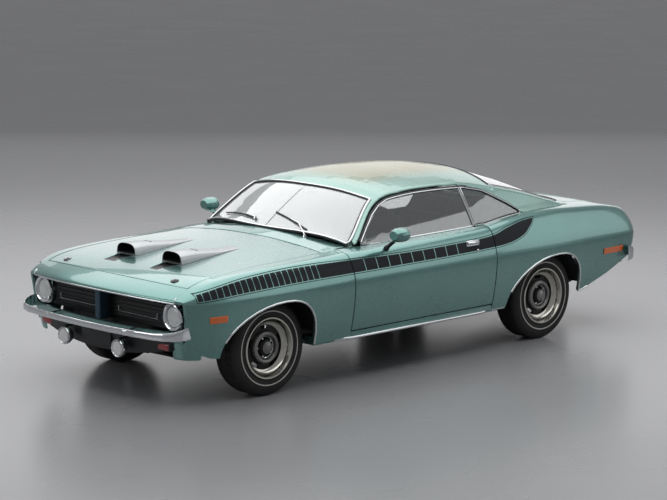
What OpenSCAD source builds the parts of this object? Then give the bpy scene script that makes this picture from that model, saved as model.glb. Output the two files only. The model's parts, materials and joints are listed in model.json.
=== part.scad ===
// Two-door hardtop muscle car: body panels on a steel floor and frame, with doors, hood and
// trunk lid on hinges, steered front wheels and four wheels that roll.
// The nose points along -Y, the car's left side is +X and the ground is z = 0.

/* [Overall] */
// Front axle to the face of the front bumper
front_overhang = 940; // [780:10:1130]
// Distance between the axles
wheelbase = 2743; // [2286:1:3292]
// Rear axle to the face of the rear bumper
rear_overhang = 1059; // [880:1:1270]
// Width over the body sides
body_width = 1902; // [1585:1:2282]
// Height of the roof's crown
body_height = 1315; // [1250:5:1570]
// Height of the belt line, where the side glass starts
belt_height = 905; // [860:5:960]
// Height of the body's lower edge
sill_height = 308; // [270:2:340]

/* [Wheels] */
// Radius of the tyres
tyre_radius = 325; // [300:1:345]
// Width of the tyres
tyre_width = 205; // [170:1:246]
// Radius of the wheel rim's lip
rim_radius = 207; // [190:1:215]
// Gap from the tyre's outer face to the widest point of the body
wheel_inset = 104; // [90:1:130]
// Radius of the stub axle that carries each wheel
stub_radius = 32; // [26:1:38]

/* [Panels] */
// Thickness of the outer panels with their flanges
panel_wall = 20; // [14:1:24]
// Thickness of the hood and the trunk lid with their frames
lid_wall = 26; // [20:1:32]
// Depth of a door from its crease to its inner trim
door_wall = 202; // [190:1:215]
// Thickness of the glass
glass_wall = 6; // [5:0.5:8]
// Gap around a panel that opens
panel_gap = 7; // [6:0.5:9]
// Seam between panels that are fixed together
seam = 0.5; // [0.3:0.1:0.8]

/* [Hood] */
// Width of each fender's top beside the hood
fender_top = 201; // [168:1:240]
// Distance between the middles of the two hood scoops
scoop_spacing = 489; // [420:1:560]
// Width of one hood scoop
scoop_width = 150; // [125:1:180]
// Height of a scoop's mouth above the hood
scoop_height = 72; // [60:1:86]
// Length of a scoop
scoop_length = 560; // [460:10:670]

/* [Hidden] */

// Main stations along the car
total_length = front_overhang + wheelbase + rear_overhang;
front_y = -total_length / 2;
rear_y = total_length / 2;
front_axle_y = front_y + front_overhang;
rear_axle_y = front_axle_y + wheelbase;
nose_y = front_y + 106;
tail_y = rear_y - 14;
hood_front_y = nose_y + 150;
door_front_y = front_axle_y + 700;
door_rear_y = rear_axle_y - 620;
hood_rear_y = door_front_y - 140;
glass_base_y = door_front_y + 11;
header_y = door_front_y + 431;
divider_y = door_rear_y - 85;
window_tip_y = door_rear_y + 455;
backlight_top_y = rear_axle_y - 330;
backlight_base_y = rear_axle_y + 420;
trunk_front_y = backlight_base_y + 62;
axle_z = tyre_radius;

// Main widths and heights
half = body_width / 2;
hood_half = half - fender_top;
crease_z = belt_height - 205;
side_tuck = 58;
wheel_x = half - wheel_inset - tyre_width / 2;
kingpin_x = wheel_x - 62;
rail_x = half - 526;
glass_base_x = half - 145;
tumblehome = 178;
window_rise = 0.72 * (body_height - belt_height);
trunk_half = half - 340;
trunk_rear_y = tail_y - 26;
lip_z = belt_height - 175;
mouth_low_z = belt_height - 395;
bumper_z = belt_height - 410;

// The wheel arches: how far each reaches ahead of and behind its own crown
arch_front_reach = 1.62 * tyre_radius;
arch_rear_reach = 0.93 * tyre_radius;
arch_crown_z = 1.985 * tyre_radius;
arch_offset = 0.19 * tyre_radius;

// Door hinge, hood hinge and trunk hinge axes
door_hinge_x = half - 30;
door_hinge_y = door_front_y + 60;
hood_hinge_y = hood_rear_y - 85;
hood_hinge_z = belt_height + 36;
trunk_hinge_y = trunk_front_y + 85;
trunk_hinge_z = belt_height + 75;

// ---------- curves ----------
function lerp(a, b, t) = a + (b - a) * t;
function clamp(t) = min(max(t, 0), 1);
function ease(t) = clamp(t) ^ 2 * (3 - 2 * clamp(t));
function span(k, t, i = 0) = i >= len(k) - 2 || t < k[i + 1][0] ? i : span(k, t, i + 1);
function rise(k, i) = (k[i + 1][1] - k[i][1]) / (k[i + 1][0] - k[i][0]);
function knot_slope(k, i) =
    i == 0 ? rise(k, 0) :
    i == len(k) - 1 ? rise(k, i - 1) :
    rise(k, i - 1) * rise(k, i) <= 0 ? 0 :
    2 * rise(k, i - 1) * rise(k, i) / (rise(k, i - 1) + rise(k, i));

// Smooth curve through the knots k = [[t, value], ...] that never overshoots them
function curve(k, t) =
    let (i = span(k, t), h = k[i + 1][0] - k[i][0], u = clamp((t - k[i][0]) / h),
        a = knot_slope(k, i) * h, b = knot_slope(k, i + 1) * h)
    (2 * u ^ 3 - 3 * u ^ 2 + 1) * k[i][1] + (u ^ 3 - 2 * u ^ 2 + u) * a
        + (3 * u ^ 2 - 2 * u ^ 3) * k[i + 1][1] + (u ^ 3 - u ^ 2) * b;

// ---------- lines of the lower body ----------
half_width_knots = [[nose_y, half - 122], [nose_y + 30, half - 94], [nose_y + 110, half - 62],
    [nose_y + 260, half - 38], [front_axle_y, half - 9], [door_front_y, half - 1],
    [0.5 * (door_front_y + door_rear_y), half], [door_rear_y, half - 1], [rear_axle_y + 100, half - 10],
    [rear_axle_y + 500, half - 32], [tail_y - 150, half - 54], [tail_y - 40, half - 68],
    [tail_y, half - 92]];
function half_width(y) = curve(half_width_knots, y);

ridge_knots = [[nose_y, -178], [nose_y + 70, -142], [nose_y + 190, -102], [nose_y + 365, -70],
    [nose_y + 565, -50], [front_axle_y, -38], [front_axle_y + 330, -31], [door_front_y, -20],
    [0.5 * (door_front_y + door_rear_y), -5], [divider_y, 6], [door_rear_y + 310, 44],
    [rear_axle_y + 60, 60], [rear_axle_y + 510, 40], [tail_y - 110, 6], [tail_y, -16]];
function ridge(y) = belt_height + curve(ridge_knots, y);

crown_knots = [[nose_y, -160], [nose_y + 60, -124], [hood_front_y, -90], [nose_y + 370, -50],
    [front_axle_y - 70, -18], [front_axle_y + 230, 8], [hood_rear_y, 36], [glass_base_y, 62],
    [backlight_base_y, 76], [tail_y - 250, 48], [tail_y - 70, 12], [tail_y, -10]];
function crown(y) = belt_height + curve(crown_knots, y);

low_knots = [[nose_y, 84], [nose_y + 110, 48], [nose_y + 250, 24], [front_axle_y - 465, 18],
    [front_axle_y, 0], [rear_axle_y, 0], [rear_axle_y + 363, 14], [rear_axle_y + 650, 96],
    [tail_y - 120, 190], [tail_y, 230]];
function low_edge(y) = sill_height + curve(low_knots, y);

lean_knots = [[nose_y, 0.5], [front_axle_y, 0.52], [door_front_y, 0.46],
    [0.5 * (door_front_y + door_rear_y), 0.38], [door_rear_y, 0.36], [rear_axle_y, 0.42], [tail_y, 0.46]];
shoulder_knots = [[nose_y, 60], [front_axle_y, 66], [door_front_y, 58],
    [0.5 * (door_front_y + door_rear_y), 48], [door_rear_y, 48], [rear_axle_y, 62], [tail_y, 60]];
function lean(y) = curve(lean_knots, y) * (ridge(y) - crease_z);
function side_x(y, z) = half_width(y) - (z < crease_z
    ? side_tuck * ((crease_z - z) / (crease_z - sill_height)) ^ 1.8
    : let (u = (z - crease_z) / (ridge(y) - crease_z)) lean(y) * (0.45 * u + 0.55 * u * u));
function shoulder(y) = min(curve(shoulder_knots, y), 0.7 * (ridge(y) - crease_z));
function shoulder_z(y) = ridge(y) - shoulder(y);
function top_edge_x(y) = side_x(y, shoulder_z(y)) - 1.1 * shoulder(y);
function top_z(x, y) = ridge(y) + (crown(y) - ridge(y)) * (1 - (x / top_edge_x(y)) ^ 2);

// Sweep of the nose and tail in plan, and their rake in side view
function nose_shift(x, z) = 150 * abs(x / half) ^ 2.2 + 0.15 * max(lip_z - z, 0);
function tail_shift(x, z) = 16 * (x / half) ^ 2 + (z > crease_z
    ? 0.0019 * (z - crease_z) ^ 2 : 0.0012 * (crease_z - z) ^ 2);
function place(p) = [p.x, p.y + (1 - ease((p.y - nose_y) / 420)) * nose_shift(p.x, p.z)
    - (1 - ease((tail_y - p.y) / 360)) * tail_shift(p.x, p.z), p.z];

// Points of the body side at station y, from height low up to the start of the top surface
function side_points(y, low, n1 = 5, n2 = 3, n3 = 4) = let (s = shoulder(y), x = side_x(y, shoulder_z(y)))
    concat([for (k = [0:n1]) let (z = lerp(low, crease_z, k / n1)) [side_x(y, z), y, z]],
        [for (k = [1:n2]) let (z = lerp(crease_z, shoulder_z(y), k / n2)) [side_x(y, z), y, z]],
        [for (k = [1:n3]) let (t = k / n3)
            [x - 2 * t * (1 - t) * 0.42 * s - t * t * 1.1 * s, y,
                shoulder_z(y) + 2 * t * (1 - t) * 0.91 * s + t * t * s]]);
// Points of the top surface from the shoulder in to half-width inner
function top_points(y, inner, n = 2) = [for (k = [1:n])
    let (x = lerp(top_edge_x(y), inner, k / n)) [x, y, top_z(x, y)]];

// Height of a wheel arch whose wheel is at axle_y
function arch_z(y, axle_y) = let (c = axle_y + arch_offset,
        d = y < c ? (c - y) / arch_front_reach : (y - c) / arch_rear_reach,
        p = y < c ? 1.9 : 2.7, low = low_edge(y))
    d >= 1 ? low : low + (arch_crown_z - low) * (1 - d ^ p) ^ (1 / p);
// Stations along an arch, closest together where it is steep
function arch_stations(axle_y, n = 9) = let (c = axle_y + arch_offset)
    concat([for (k = [0:n]) c - arch_front_reach * cos(90 * k / n) ^ (2 / 1.9)],
        [for (k = [1:n]) c + arch_rear_reach * sin(90 * k / n) ^ (2 / 2.7)]);
function between(a, b, n) = [for (k = [1:n - 1]) lerp(a, b, k / n)];

// ---------- lines of the roof and glass ----------
roof_crown_knots = [[glass_base_y, belt_height + 68], [0.5 * (glass_base_y + header_y), belt_height + 212],
    [header_y, body_height - 78], [header_y + 110, body_height - 40], [header_y + 300, body_height - 12],
    [header_y + 560, body_height], [divider_y + 60, body_height - 10],
    [backlight_top_y - 30, body_height - 42],
    [0.5 * (backlight_top_y + backlight_base_y) - 130, lerp(body_height, belt_height, 0.27)],
    [0.5 * (backlight_top_y + backlight_base_y) + 170, lerp(body_height, belt_height, 0.54)],
    [backlight_base_y + 12, belt_height + 80]];
function roof_crown(y) = curve(roof_crown_knots, y);
rail_knots = [[door_front_y + 137, belt_height - 6], [header_y + 58, body_height - 134],
    [header_y + 190, body_height - 98], [header_y + 520, body_height - 82],
    [divider_y - 40, body_height - 88], [divider_y + 150, body_height - 118],
    [backlight_top_y + 20, lerp(body_height, belt_height, 0.42)],
    [0.5 * (backlight_top_y + backlight_base_y) - 100, lerp(body_height, belt_height, 0.56)],
    [0.5 * (backlight_top_y + backlight_base_y) + 170, lerp(body_height, belt_height, 0.75)],
    [backlight_base_y + 12, belt_height + 62]];
function rail_z(y) = curve(rail_knots, y);
glass_line_knots = [[door_front_y + 100, -31], [door_front_y + 530, -6], [divider_y, 0],
    [door_rear_y + 310, -12], [rear_axle_y + 90, -36], [backlight_base_y, -76]];
function upper_x(y, z) = glass_base_x + curve(glass_line_knots, y)
    - tumblehome * (max(z - belt_height - 4, 0) / 300) ^ 1.1;
function rail_x_at(y) = upper_x(y, rail_z(y));
// Point of the roof, windshield or backlight at share s across, from 1 at left to -1 at right
function roof_point(s, y, drop = 0) = [s * rail_x_at(y), y,
    rail_z(y) + (roof_crown(y) - rail_z(y)) * (1 - abs(s) ^ 2.4) - drop];
// Upper edge of the side windows
window_knots = [[door_front_y + 128, belt_height + 20], [header_y + 140, body_height - 124],
    [header_y + 450, body_height - 102], [divider_y - 60, body_height - 110],
    [divider_y + 120, body_height - 138], [door_rear_y + 315, lerp(body_height, belt_height, 0.63)],
    [window_tip_y, belt_height + 70]];
function window_top(y) = curve(window_knots, y);
function belt_z(y) = top_z(upper_x(y, belt_height + 4), y);

// ---------- solids from grids of points ----------
function unit(v) = v / max(norm(v), 1e-6);
function grid_normal(g, i, j) = let (n = len(g) - 1, m = len(g[0]) - 1)
    unit(cross(g[min(i + 1, n)][j] - g[max(i - 1, 0)][j], g[i][min(j + 1, m)] - g[i][max(j - 1, 0)]));
function inward(g, t) = [for (i = [0:len(g) - 1]) [for (j = [0:len(g[0]) - 1])
    g[i][j] - t * grid_normal(g, i, j)]];
function flat(g) = [for (row = g) each row];
function quad(a, b, c, d) = [[a, b, c], [a, c, d]];

// Closed solid between an outer and an inner grid of the same size
module shell(outer, inner) {
    n = len(outer) - 1;
    m = len(outer[0]) - 1;
    w = m + 1;
    k = (n + 1) * w;
    polyhedron(points = concat(flat(outer), flat(inner)), faces = concat(
        [for (i = [0:n - 1], j = [0:m - 1]) let (a = i * w + j)
            each concat(quad(a, a + 1, a + w + 1, a + w),
                quad(k + a, k + a + w, k + a + w + 1, k + a + 1))],
        [for (i = [0:n - 1]) let (a = i * w, b = i * w + m)
            each concat(quad(a, a + w, k + a + w, k + a), quad(b, k + b, k + b + w, b + w))],
        [for (j = [0:m - 1]) let (a = j, b = n * w + j)
            each concat(quad(a, k + a, k + a + 1, a + 1), quad(b, b + 1, k + b + 1, k + b))]));
}

// Solid through closed rings of the same number of points, each ring seen anticlockwise from
// behind the direction of travel; the ends are flat fans, so each ring is convex
module rings(list) {
    n = len(list) - 1;
    m = len(list[0]);
    polyhedron(points = flat(list), faces = concat(
        [for (i = [0:n - 1], j = [0:m - 1]) let (a = i * m + j, b = i * m + (j + 1) % m)
            each quad(a, b, b + m, a + m)],
        [for (j = [1:m - 2]) [0, j + 1, j]],
        [for (j = [1:m - 2]) [n * m, n * m + j, n * m + j + 1]]));
}

module both_sides() {
    children();
    mirror([1, 0, 0]) children();
}
module mirrored(flip) {
    if (flip) mirror([1, 0, 0]) children();
    else children();
}
// Bar along X, centred on x = 0
module cross_bar(length, y, z, size_y, size_z) {
    translate([-length / 2, y - size_y / 2, z - size_z / 2]) cube([length, size_y, size_z]);
}
// Extrudes an outline of [y, z] points along X from x0 to x1
module extrude_x(x0, x1) {
    translate([x0, 0, 0]) rotate([90, 0, 90]) linear_extrude(height = x1 - x0) children();
}
module axle_cylinder(r, x0, x1, y, z) {
    translate([x0, y, z]) rotate([0, 90, 0]) cylinder(r = r, h = x1 - x0, $fn = 64);
}

// Inner grid of a body side panel: along the normals, but square at both ends and at its top
// edge; back is how far the inner face stops short of the last station
function side_inner(g, t, back = 0) = let (n = len(g) - 1, m = len(g[0]) - 1)
    [for (i = [0:n]) [for (j = [0:m]) let (v = j == m ? [0, 0, 1] : grid_normal(g, i, j),
        d = i == 0 || i == n ? unit([v.x, 0, v.z]) : v)
        g[i][j] - t * d - [0, i == n ? back : 0, 0]]];
function lowered(g, t) = [for (row = g) [for (p = row) p - [0, 0, t]]];
function moved(g, v) = [for (row = g) [for (p = row) p + v]];

// ---------- outer panels ----------
module fender() {
    a = front_axle_y + arch_offset - arch_front_reach;
    b = front_axle_y + arch_offset + arch_rear_reach;
    stations = concat([nose_y, nose_y + 10, nose_y + 30, nose_y + 60, nose_y + 100, hood_front_y],
        between(hood_front_y, a, 4), arch_stations(front_axle_y), between(b, door_front_y, 3),
        [door_front_y - panel_gap / 2]);
    outer = [for (y = stations) [for (p = concat(side_points(y, arch_z(y, front_axle_y)),
        top_points(y, hood_half))) place(p)]];
    shell(outer, side_inner(outer, panel_wall, 12));
}
module fenders() {
    color("#3f9c8c") both_sides() fender();
}

function quarter_edge(y) = lerp(upper_x(y, belt_z(y)) + seam, trunk_half + panel_gap,
    ease((y - backlight_base_y) / 50));
rear_arch_end = rear_axle_y + arch_offset + arch_rear_reach;
deck_stations = concat(between(rear_arch_end, backlight_base_y, 3),
    [for (d = [0, 17, 34, 50]) backlight_base_y + d]);
module quarter_panel() {
    a = rear_axle_y + arch_offset - arch_front_reach;
    stations = concat([door_rear_y + panel_gap / 2, a - 30], arch_stations(rear_axle_y),
        deck_stations, [trunk_front_y],
        between(trunk_front_y, tail_y - 160, 4), [tail_y - 160, tail_y - 90, tail_y - 40,
        tail_y - 15, tail_y]);
    outer = [for (y = stations) [for (p = concat(side_points(y, arch_z(y, rear_axle_y)),
        top_points(y, quarter_edge(y)))) place(p)]];
    shell(outer, side_inner(outer, panel_wall));
}
module quarter_panels() {
    color("#3f9c8c") both_sides() quarter_panel();
}

door_low = 46;
module door() {
    front = door_front_y + panel_gap / 2;
    back = door_rear_y - panel_gap / 2;
    n = 9;
    outer = [for (k = [0:n]) let (y = lerp(front, back, k / n))
        concat(side_points(y, sill_height + door_low),
            top_points(y, upper_x(y, belt_height + 4) - 24))];
    m = len(outer[0]) - 1;
    inner = [for (k = [0:n]) let (y = lerp(front + 6, back - 18, k / n), z = outer[k][m].z)
        [for (j = [0:m]) [half - door_wall, y, lerp(sill_height + door_low + 3, z - 12, j / m)]]];
    shell(outer, inner);
}
module door_left() {
    color("#3f9c8c") door();
}
module door_right() {
    color("#3f9c8c") mirrored(true) door();
}
module door_pane() {
    n = 12;
    outer = [for (k = [0:n]) let (y = lerp(door_front_y + 214, divider_y - 6, k / n),
        low = top_z(upper_x(y, belt_height + 4) - 24, y) + 0.5)
        [for (j = [0:5]) let (z = lerp(low, min(window_top(y) - 8, rail_z(y) - 38), j / 5))
            [upper_x(y, z) - 9, y, z]]];
    shell(outer, moved(outer, [-glass_wall, 0, 0]));
}
module door_glass_left() {
    color("#9fb0b4", 0.5) door_pane();
}
module door_glass_right() {
    color("#9fb0b4", 0.5) mirrored(true) door_pane();
}

// Rounded door mirror on a short stalk
mirror_y = door_front_y + 368;
module mirror_shape() {
    resize([0, 0, 0]) {
        translate([half + 52, mirror_y, belt_height + 84]) rings([for (k = [0:4])
            let (t = [0.62, 0.94, 1, 0.97, 0.9][k], y = [-34, -20, 0, 14, 20][k])
            [for (a = [0:15:345]) [66 * t * cos(a), y, 46 * t * sin(a)]]]);
        let (s = shoulder(mirror_y), z = shoulder_z(mirror_y))
            translate([side_x(mirror_y, z) - 0.485 * s + 0.2, mirror_y - 6, z + 0.705 * s + 0.2])
                rotate([0, 42.3, 0]) {
                    cylinder(r1 = 22, r2 = 15, h = 26, $fn = 32);
                    translate([0, 0, 8]) rotate([0, 10, 0]) cylinder(r = 13, h = 136, $fn = 24);
                }
    }
}
module mirror_left() {
    color("#3f9c8c") mirror_shape();
}
module mirror_right() {
    color("#3f9c8c") mirrored(true) mirror_shape();
}

// Top panels that lie on the upper surface between two stations and inside a half-width
function top_grid(y0, y1, w0, w1, n, m) = [for (i = [0:n]) let (y = lerp(y0, y1, i / n),
    w = lerp(w0, w1, i / n)) [for (j = [0:m]) let (x = lerp(w, -w, j / m))
        place([x, y, top_z(x, y)])]];
module hood() {
    w = hood_half - panel_gap;
    g = top_grid(hood_front_y, hood_rear_y, w, w, 14, 18);
    color("#3f9c8c") shell(g, lowered(g, lid_wall));
}
module trunk_lid() {
    g = top_grid(trunk_front_y, trunk_rear_y, trunk_half, trunk_half, 8, 16);
    color("#3f9c8c") shell(g, lowered(g, lid_wall));
}

// Two ram-air scoops on the hood, open at the front
function scoop_ring(y, w, h, base) = [for (a = [0:20:180])
    let (x = scoop_spacing / 2 + w * sign(cos(a)) * abs(cos(a)) ^ 0.6)
    [x, y, top_z(x, y) + base + h * sin(a) ^ 0.7]];
module scoop() {
    y0 = front_axle_y - 339;
    resize([0, 0, 0]) difference() {
        rings([for (k = [0:8]) let (t = k / 8) scoop_ring(y0 + t * scoop_length,
            0.5 * scoop_width * lerp(1, 0.72, t), 4 + scoop_height * (1 - ease(t * 0.98)), 0.7)]);
        rings([for (k = [0:4]) let (t = k / 4) scoop_ring(y0 - 1 + t * 190,
            0.5 * scoop_width * lerp(0.88, 0.8, t), scoop_height * lerp(0.86, 0.66, t), 12)]);
    }
}
module hood_scoops() {
    color("#c9ced0") both_sides() scoop();
}

// ---------- roof, pillars and glass ----------
function head_y(s) = header_y + 45 * s * s;
function base_y(s) = glass_base_y + 120 * abs(s) ^ 2.2;
function rear_head_y(s) = backlight_top_y - 40 * s * s;
function rear_base_y(s) = backlight_base_y - 90 * s * s;
glass_s = 0.93;
pillar_foot_y = door_front_y + 96;
sail_front_y = divider_y + 90;
function side_strip(y0, y1, n, m, low, high) = [for (i = [0:n]) let (y = lerp(y0, y1, i / n),
    a = low ? max(window_top(y), belt_z(y) - 14) : window_top(y), b = rail_z(y) - high)
    [for (j = [0:m]) let (z = lerp(min(a, b - 10), b, j / m))
        [min(upper_x(y, z), low ? upper_x(y, belt_z(y)) : half), y, z]]];
module roof() {
    top = [for (i = [0:15]) [for (j = [0:18]) let (s = 1 - j / 9)
        roof_point(s, lerp(head_y(s), rear_head_y(s), i / 15))]];
    pillar_y = [for (i = [0:9]) lerp(pillar_foot_y + 62, header_y + 60, i / 9)];
    pillar = [for (y = pillar_y) [for (j = [0:2]) roof_point(lerp(1, glass_s + 0.006, j / 2), y)]];
    pillar_low = [for (i = [0:9]) [for (p = pillar[i])
        p - [0, 0, max(min(30, rail_z(pillar_y[i]) - belt_height - 5), 3)]]];
    strip = side_strip(header_y + 30, sail_front_y, 10, 2, false, 0);
    post = side_strip(pillar_foot_y + 64, header_y + 40, 8, 2, false, 0);
    color("#b9d8c9") resize([0, 0, 0]) {
        shell(top, lowered(top, 24));
        both_sides() {
            shell(pillar, pillar_low);
            shell(strip, moved(strip, [-26, 0, 0]));
            shell(post, moved(post, [-30, 0, 0]));
            extrude_x(cabin_half - 56, cabin_half - 14) polygon([[pillar_foot_y, belt_height - 90],
                [pillar_foot_y + 98, belt_height - 90], [pillar_foot_y + 98, belt_height + 25],
                [pillar_foot_y + 60, belt_height], [pillar_foot_y, belt_height - 15]]);
        }
    }
}
module sail_panels() {
    top = [for (i = [0:10]) [for (j = [0:2]) let (s = lerp(1, glass_s + 0.006, j / 2),
        y = lerp(rear_head_y(s) + 1.2, backlight_base_y, i / 10)) roof_point(s, y)]];
    front = side_strip(sail_front_y + seam, rear_head_y(1) + 6, 5, 6, true, 24 + seam);
    side = side_strip(rear_head_y(1) + 5.5, backlight_base_y, 12, 6, true, seam);
    color("#b9d8c9") both_sides() resize([0, 0, 0]) {
        shell(top, lowered(top, 26));
        shell(front, moved(front, [-24, 0, 0]));
        shell(side, moved(side, [-24, 0, 0]));
    }
}
module windshield() {
    g = [for (i = [0:12]) [for (j = [0:20]) let (s = glass_s * (1 - j / 10))
        roof_point(s, lerp(base_y(s), head_y(s) - 3.6, i / 12), 3)]];
    color("#b8c4c6", 0.5) shell(g, moved(g, [0, 3, -glass_wall]));
}
module rear_window() {
    g = [for (i = [0:12]) [for (j = [0:20]) let (s = glass_s * (1 - j / 10))
        roof_point(s, lerp(rear_head_y(s) + 2.6, rear_base_y(s), i / 12), 3)]];
    color("#b8c4c6", 0.5) shell(g, moved(g, [0, -2, -glass_wall]));
}
module quarter_glass() {
    n = 10;
    g = [for (k = [0:n]) let (y = lerp(divider_y + 6, window_tip_y - 12, k / n),
        low = y < door_rear_y + 5 ? belt_z(y) + 8 : belt_z(y) + 1)
        [for (j = [0:4]) let (z = lerp(low, min(window_top(y) - 1, rail_z(y) - 36), j / 4))
            [upper_x(y, z) - 9, y, z]]];
    color("#9fb0b4", 0.5) both_sides() shell(g, moved(g, [-glass_wall, 0, 0]));
}

// Cowl between the hood and the windshield, with the firewall below it
module cowl() {
    w = hood_half - seam;
    y1 = door_front_y - 9;
    y2 = door_front_y - 3;
    g = [for (i = [0:5]) [for (j = [0:18]) let (half_w = i < 3 ? w : cabin_half - 14,
        x = lerp(half_w, -half_w, j / 18), s = x / upper_x(door_front_y + 100, belt_height),
        back = min(base_y(s) - 0.4, pillar_foot_y - 0.4),
        front = min(y2, back - 4),
        y = i < 3 ? lerp(hood_rear_y + panel_gap + 2, min(y1, back - 8), i / 2)
            : lerp(front, back, (i - 3) / 2)) [x, y, top_z(x, y)]]];
    rail_top = floor_z + 82;
    color("#3f9c8c") resize([0, 0, 0]) {
        shell(g, lowered(g, 18));
        difference() {
            translate([14 - cabin_half, y2 - 37, rail_top + 0.4])
                cube([2 * cabin_half - 28, 16, belt_height - 30 - rail_top]);
            translate([-90, y2 - 38, rail_top]) cube([180, 18, 70]);
        }
    }
}
module rear_deck() {
    ys = concat([backlight_base_y - 100, rear_arch_end],
        [for (y = deck_stations) each (y == backlight_base_y ? [y, y + 1] : [y])],
        [trunk_front_y - panel_gap - 1]);
    g = [for (y = ys) [for (j = [0:18]) let (w = y > backlight_base_y ? quarter_edge(y) - 1.7
        : (glass_s + 0.006) * rail_x_at(y) - 1.5, x = lerp(w, -w, j / 18)) [x, y, top_z(x, y)]]];
    color("#3f9c8c") resize([0, 0, 0]) {
        shell(g, lowered(g, 18));
        cross_bar(2 * half - 782, backlight_base_y - 160, belt_height + 50, 300, 12);
    }
}

// ---------- nose ----------
mouth_half = half - 150;
strip_y = nose_y + 0.15 * (lip_z - mouth_low_z);
function plan_band(w, y, depth, n = 24) = concat(
    [for (k = [0:n]) let (x = lerp(-w, w, k / n)) [x, y + nose_shift(x, lip_z)]],
    [for (k = [0:n]) let (x = lerp(w, -w, k / n)) [x, y + depth + nose_shift(x, lip_z)]]);
module plan_wall(w, y, depth, z0, z1) {
    translate([0, 0, z0]) linear_extrude(height = z1 - z0) polygon(plan_band(w, y, depth));
}
module nose_panel() {
    w = hood_half - seam;
    path = [[hood_front_y - panel_gap - 1, 0], [nose_y + 90, 0], [nose_y + 55, 0],
        [nose_y + 26, 0], [nose_y + 10, -3], [nose_y + 2, -8], [nose_y, -15], [nose_y + 2, -22]];
    g = [for (i = [7:-1:0]) [for (j = [0:18]) let (x = lerp(w, -w, j / 18), y = path[i][0])
        place([x, y, top_z(x, y) + path[i][1]])]];
    color("#3f9c8c") resize([0, 0, 0]) {
        shell(g, [for (i = [0:7]) [for (j = [0:18]) g[i][j] + (i == 0 ? [0, 19, 1]
            : i == 1 ? [0, 22, -5] : i == 2 ? [0, 21, -11] : i == 3 ? [0, 15, -16]
            : i == 4 ? [0, 5, -18] : [0, 0, -18])]]);
        plan_wall(mouth_half - 19, strip_y, 22, mouth_low_z - 62.4, mouth_low_z);
    }
}
grille_y = nose_y + 158;
module grille() {
    color("#151719") {
        difference() {
            cross_bar(2 * mouth_half - 2, grille_y + 6, 0.5 * (lip_z + mouth_low_z) - 6, 12,
                lip_z - mouth_low_z - 14);
            both_sides() translate([lamp_x, grille_y + 30, lamp_z]) rotate([90, 0, 0])
                cylinder(r = 86, h = 60, $fn = 64);
        }
        for (k = [1:6]) translate([0, 0, k * 27 - 4])
            cross_bar(2 * lamp_x - 214, grille_y - 6, mouth_low_z + 8, 12, 4);
        translate([-22, nose_y + 52, mouth_low_z + 0.3])
            cube([44, grille_y - nose_y - 46, lip_z - mouth_low_z - 14]);
    }
}
lamp_x = half - 257;
lamp_z = belt_height - 294;
lamp_r = 89;
module headlights() {
    color("#d9e0e2") both_sides() translate([lamp_x, grille_y - 0.3, lamp_z]) rotate([90, 0, 0])
        rotate_extrude($fn = 96) polygon([[0, 0], [lamp_r + 9, 0], [lamp_r + 9, 20],
            [lamp_r + 7, 34], [lamp_r + 2, 40], [lamp_r - 3, 36], [lamp_r - 6, 30],
            [lamp_r - 24, 38], [lamp_r - 50, 43], [0, 45]]);
}

// Chrome blade bumper swept along a plan path, deeper at its turned-up ends
function blade_ring(p, q, h, d) = let (v = unit([q.x, q.y, 0]), nrm = [v.y, -v.x, 0])
    [for (a = [0:30:330]) p + nrm * (d * 0.5 * sign(cos(a)) * abs(cos(a)) ^ 0.8 - d * 0.5)
        + [0, 0, h * 0.5 * sign(sin(a)) * abs(sin(a)) ^ 0.8]];
front_sweep = [0, 0.02, 0.09, 0.17, 0.28, 0.46, 0.68, 1];
rear_sweep = [0, 0.01, 0.04, 0.08, 0.14, 0.3, 0.55, 1];
module blade(y_face, y_end, z, w, rise_end, sweep, dir) {
    out = [0, 0.3, 0.6, 0.78, 0.88, 0.95, 0.985, 1];
    up = [0, 0, 0, 0.04, 0.14, 0.36, 0.66, 1];
    path = [for (i = [0:7]) [out[i] * w, sweep[i], up[i]]];
    pts = [for (p = path) [p.x, y_face + (y_end - y_face) * p.y, z + rise_end * p.z]];
    n = len(pts) - 1;
    half_rings = [for (i = [0:n]) let (q = pts[min(i + 1, n)] - (i == 0 ? [-pts[1].x, pts[1].y, 0] : pts[i - 1]))
        blade_ring(pts[i], dir * q, lerp(66, 92, path[i].z), lerp(30, 9, path[i].y))];
    both = concat([for (i = [n:-1:1]) [for (p = half_rings[i]) [-p.x, p.y, p.z]]], half_rings);
    rings(dir > 0 ? both : [for (r = both) [for (k = [11:-1:0]) r[k]]]);
}
module front_bumper() {
    color("#c9ced0") resize([0, 0, 0]) {
        blade(front_y, front_y + 286, bumper_z, half - 66, 14, front_sweep, 1);
        both_sides() let (y = strip_y + nose_shift(rail_x - 20, lip_z) - 0.4)
            translate([rail_x - 20, front_y + 12, bumper_z - 20]) cube([40, y - front_y - 12, 36]);
    }
}
module rear_bumper() {
    color("#c9ced0") resize([0, 0, 0]) {
        blade(rear_y, rear_y - 110, bumper_z + 48, half - 10, 10, rear_sweep, -1);
        both_sides() let (y = tail_y - 23.9 - tail_shift(rail_x - 20, bumper_z + 70))
            translate([rail_x - 20, y, bumper_z + 24]) cube([40, rear_y - 12 - y, 46]);
    }
}

// Round road lamps under the bumper
road_x = 290;
road_z = belt_height - 541;
module road_lamps() {
    color("#c9ced0") both_sides() translate([road_x, nose_y - 20, road_z]) rotate([-90, 0, 0])
        rotate_extrude($fn = 96) polygon([[0, 0], [42, 1.5], [49, 4], [51, -3], [57, -2], [60, 6],
            [59, 28], [44, 56], [18, 72], [0, 74]]);
}
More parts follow.
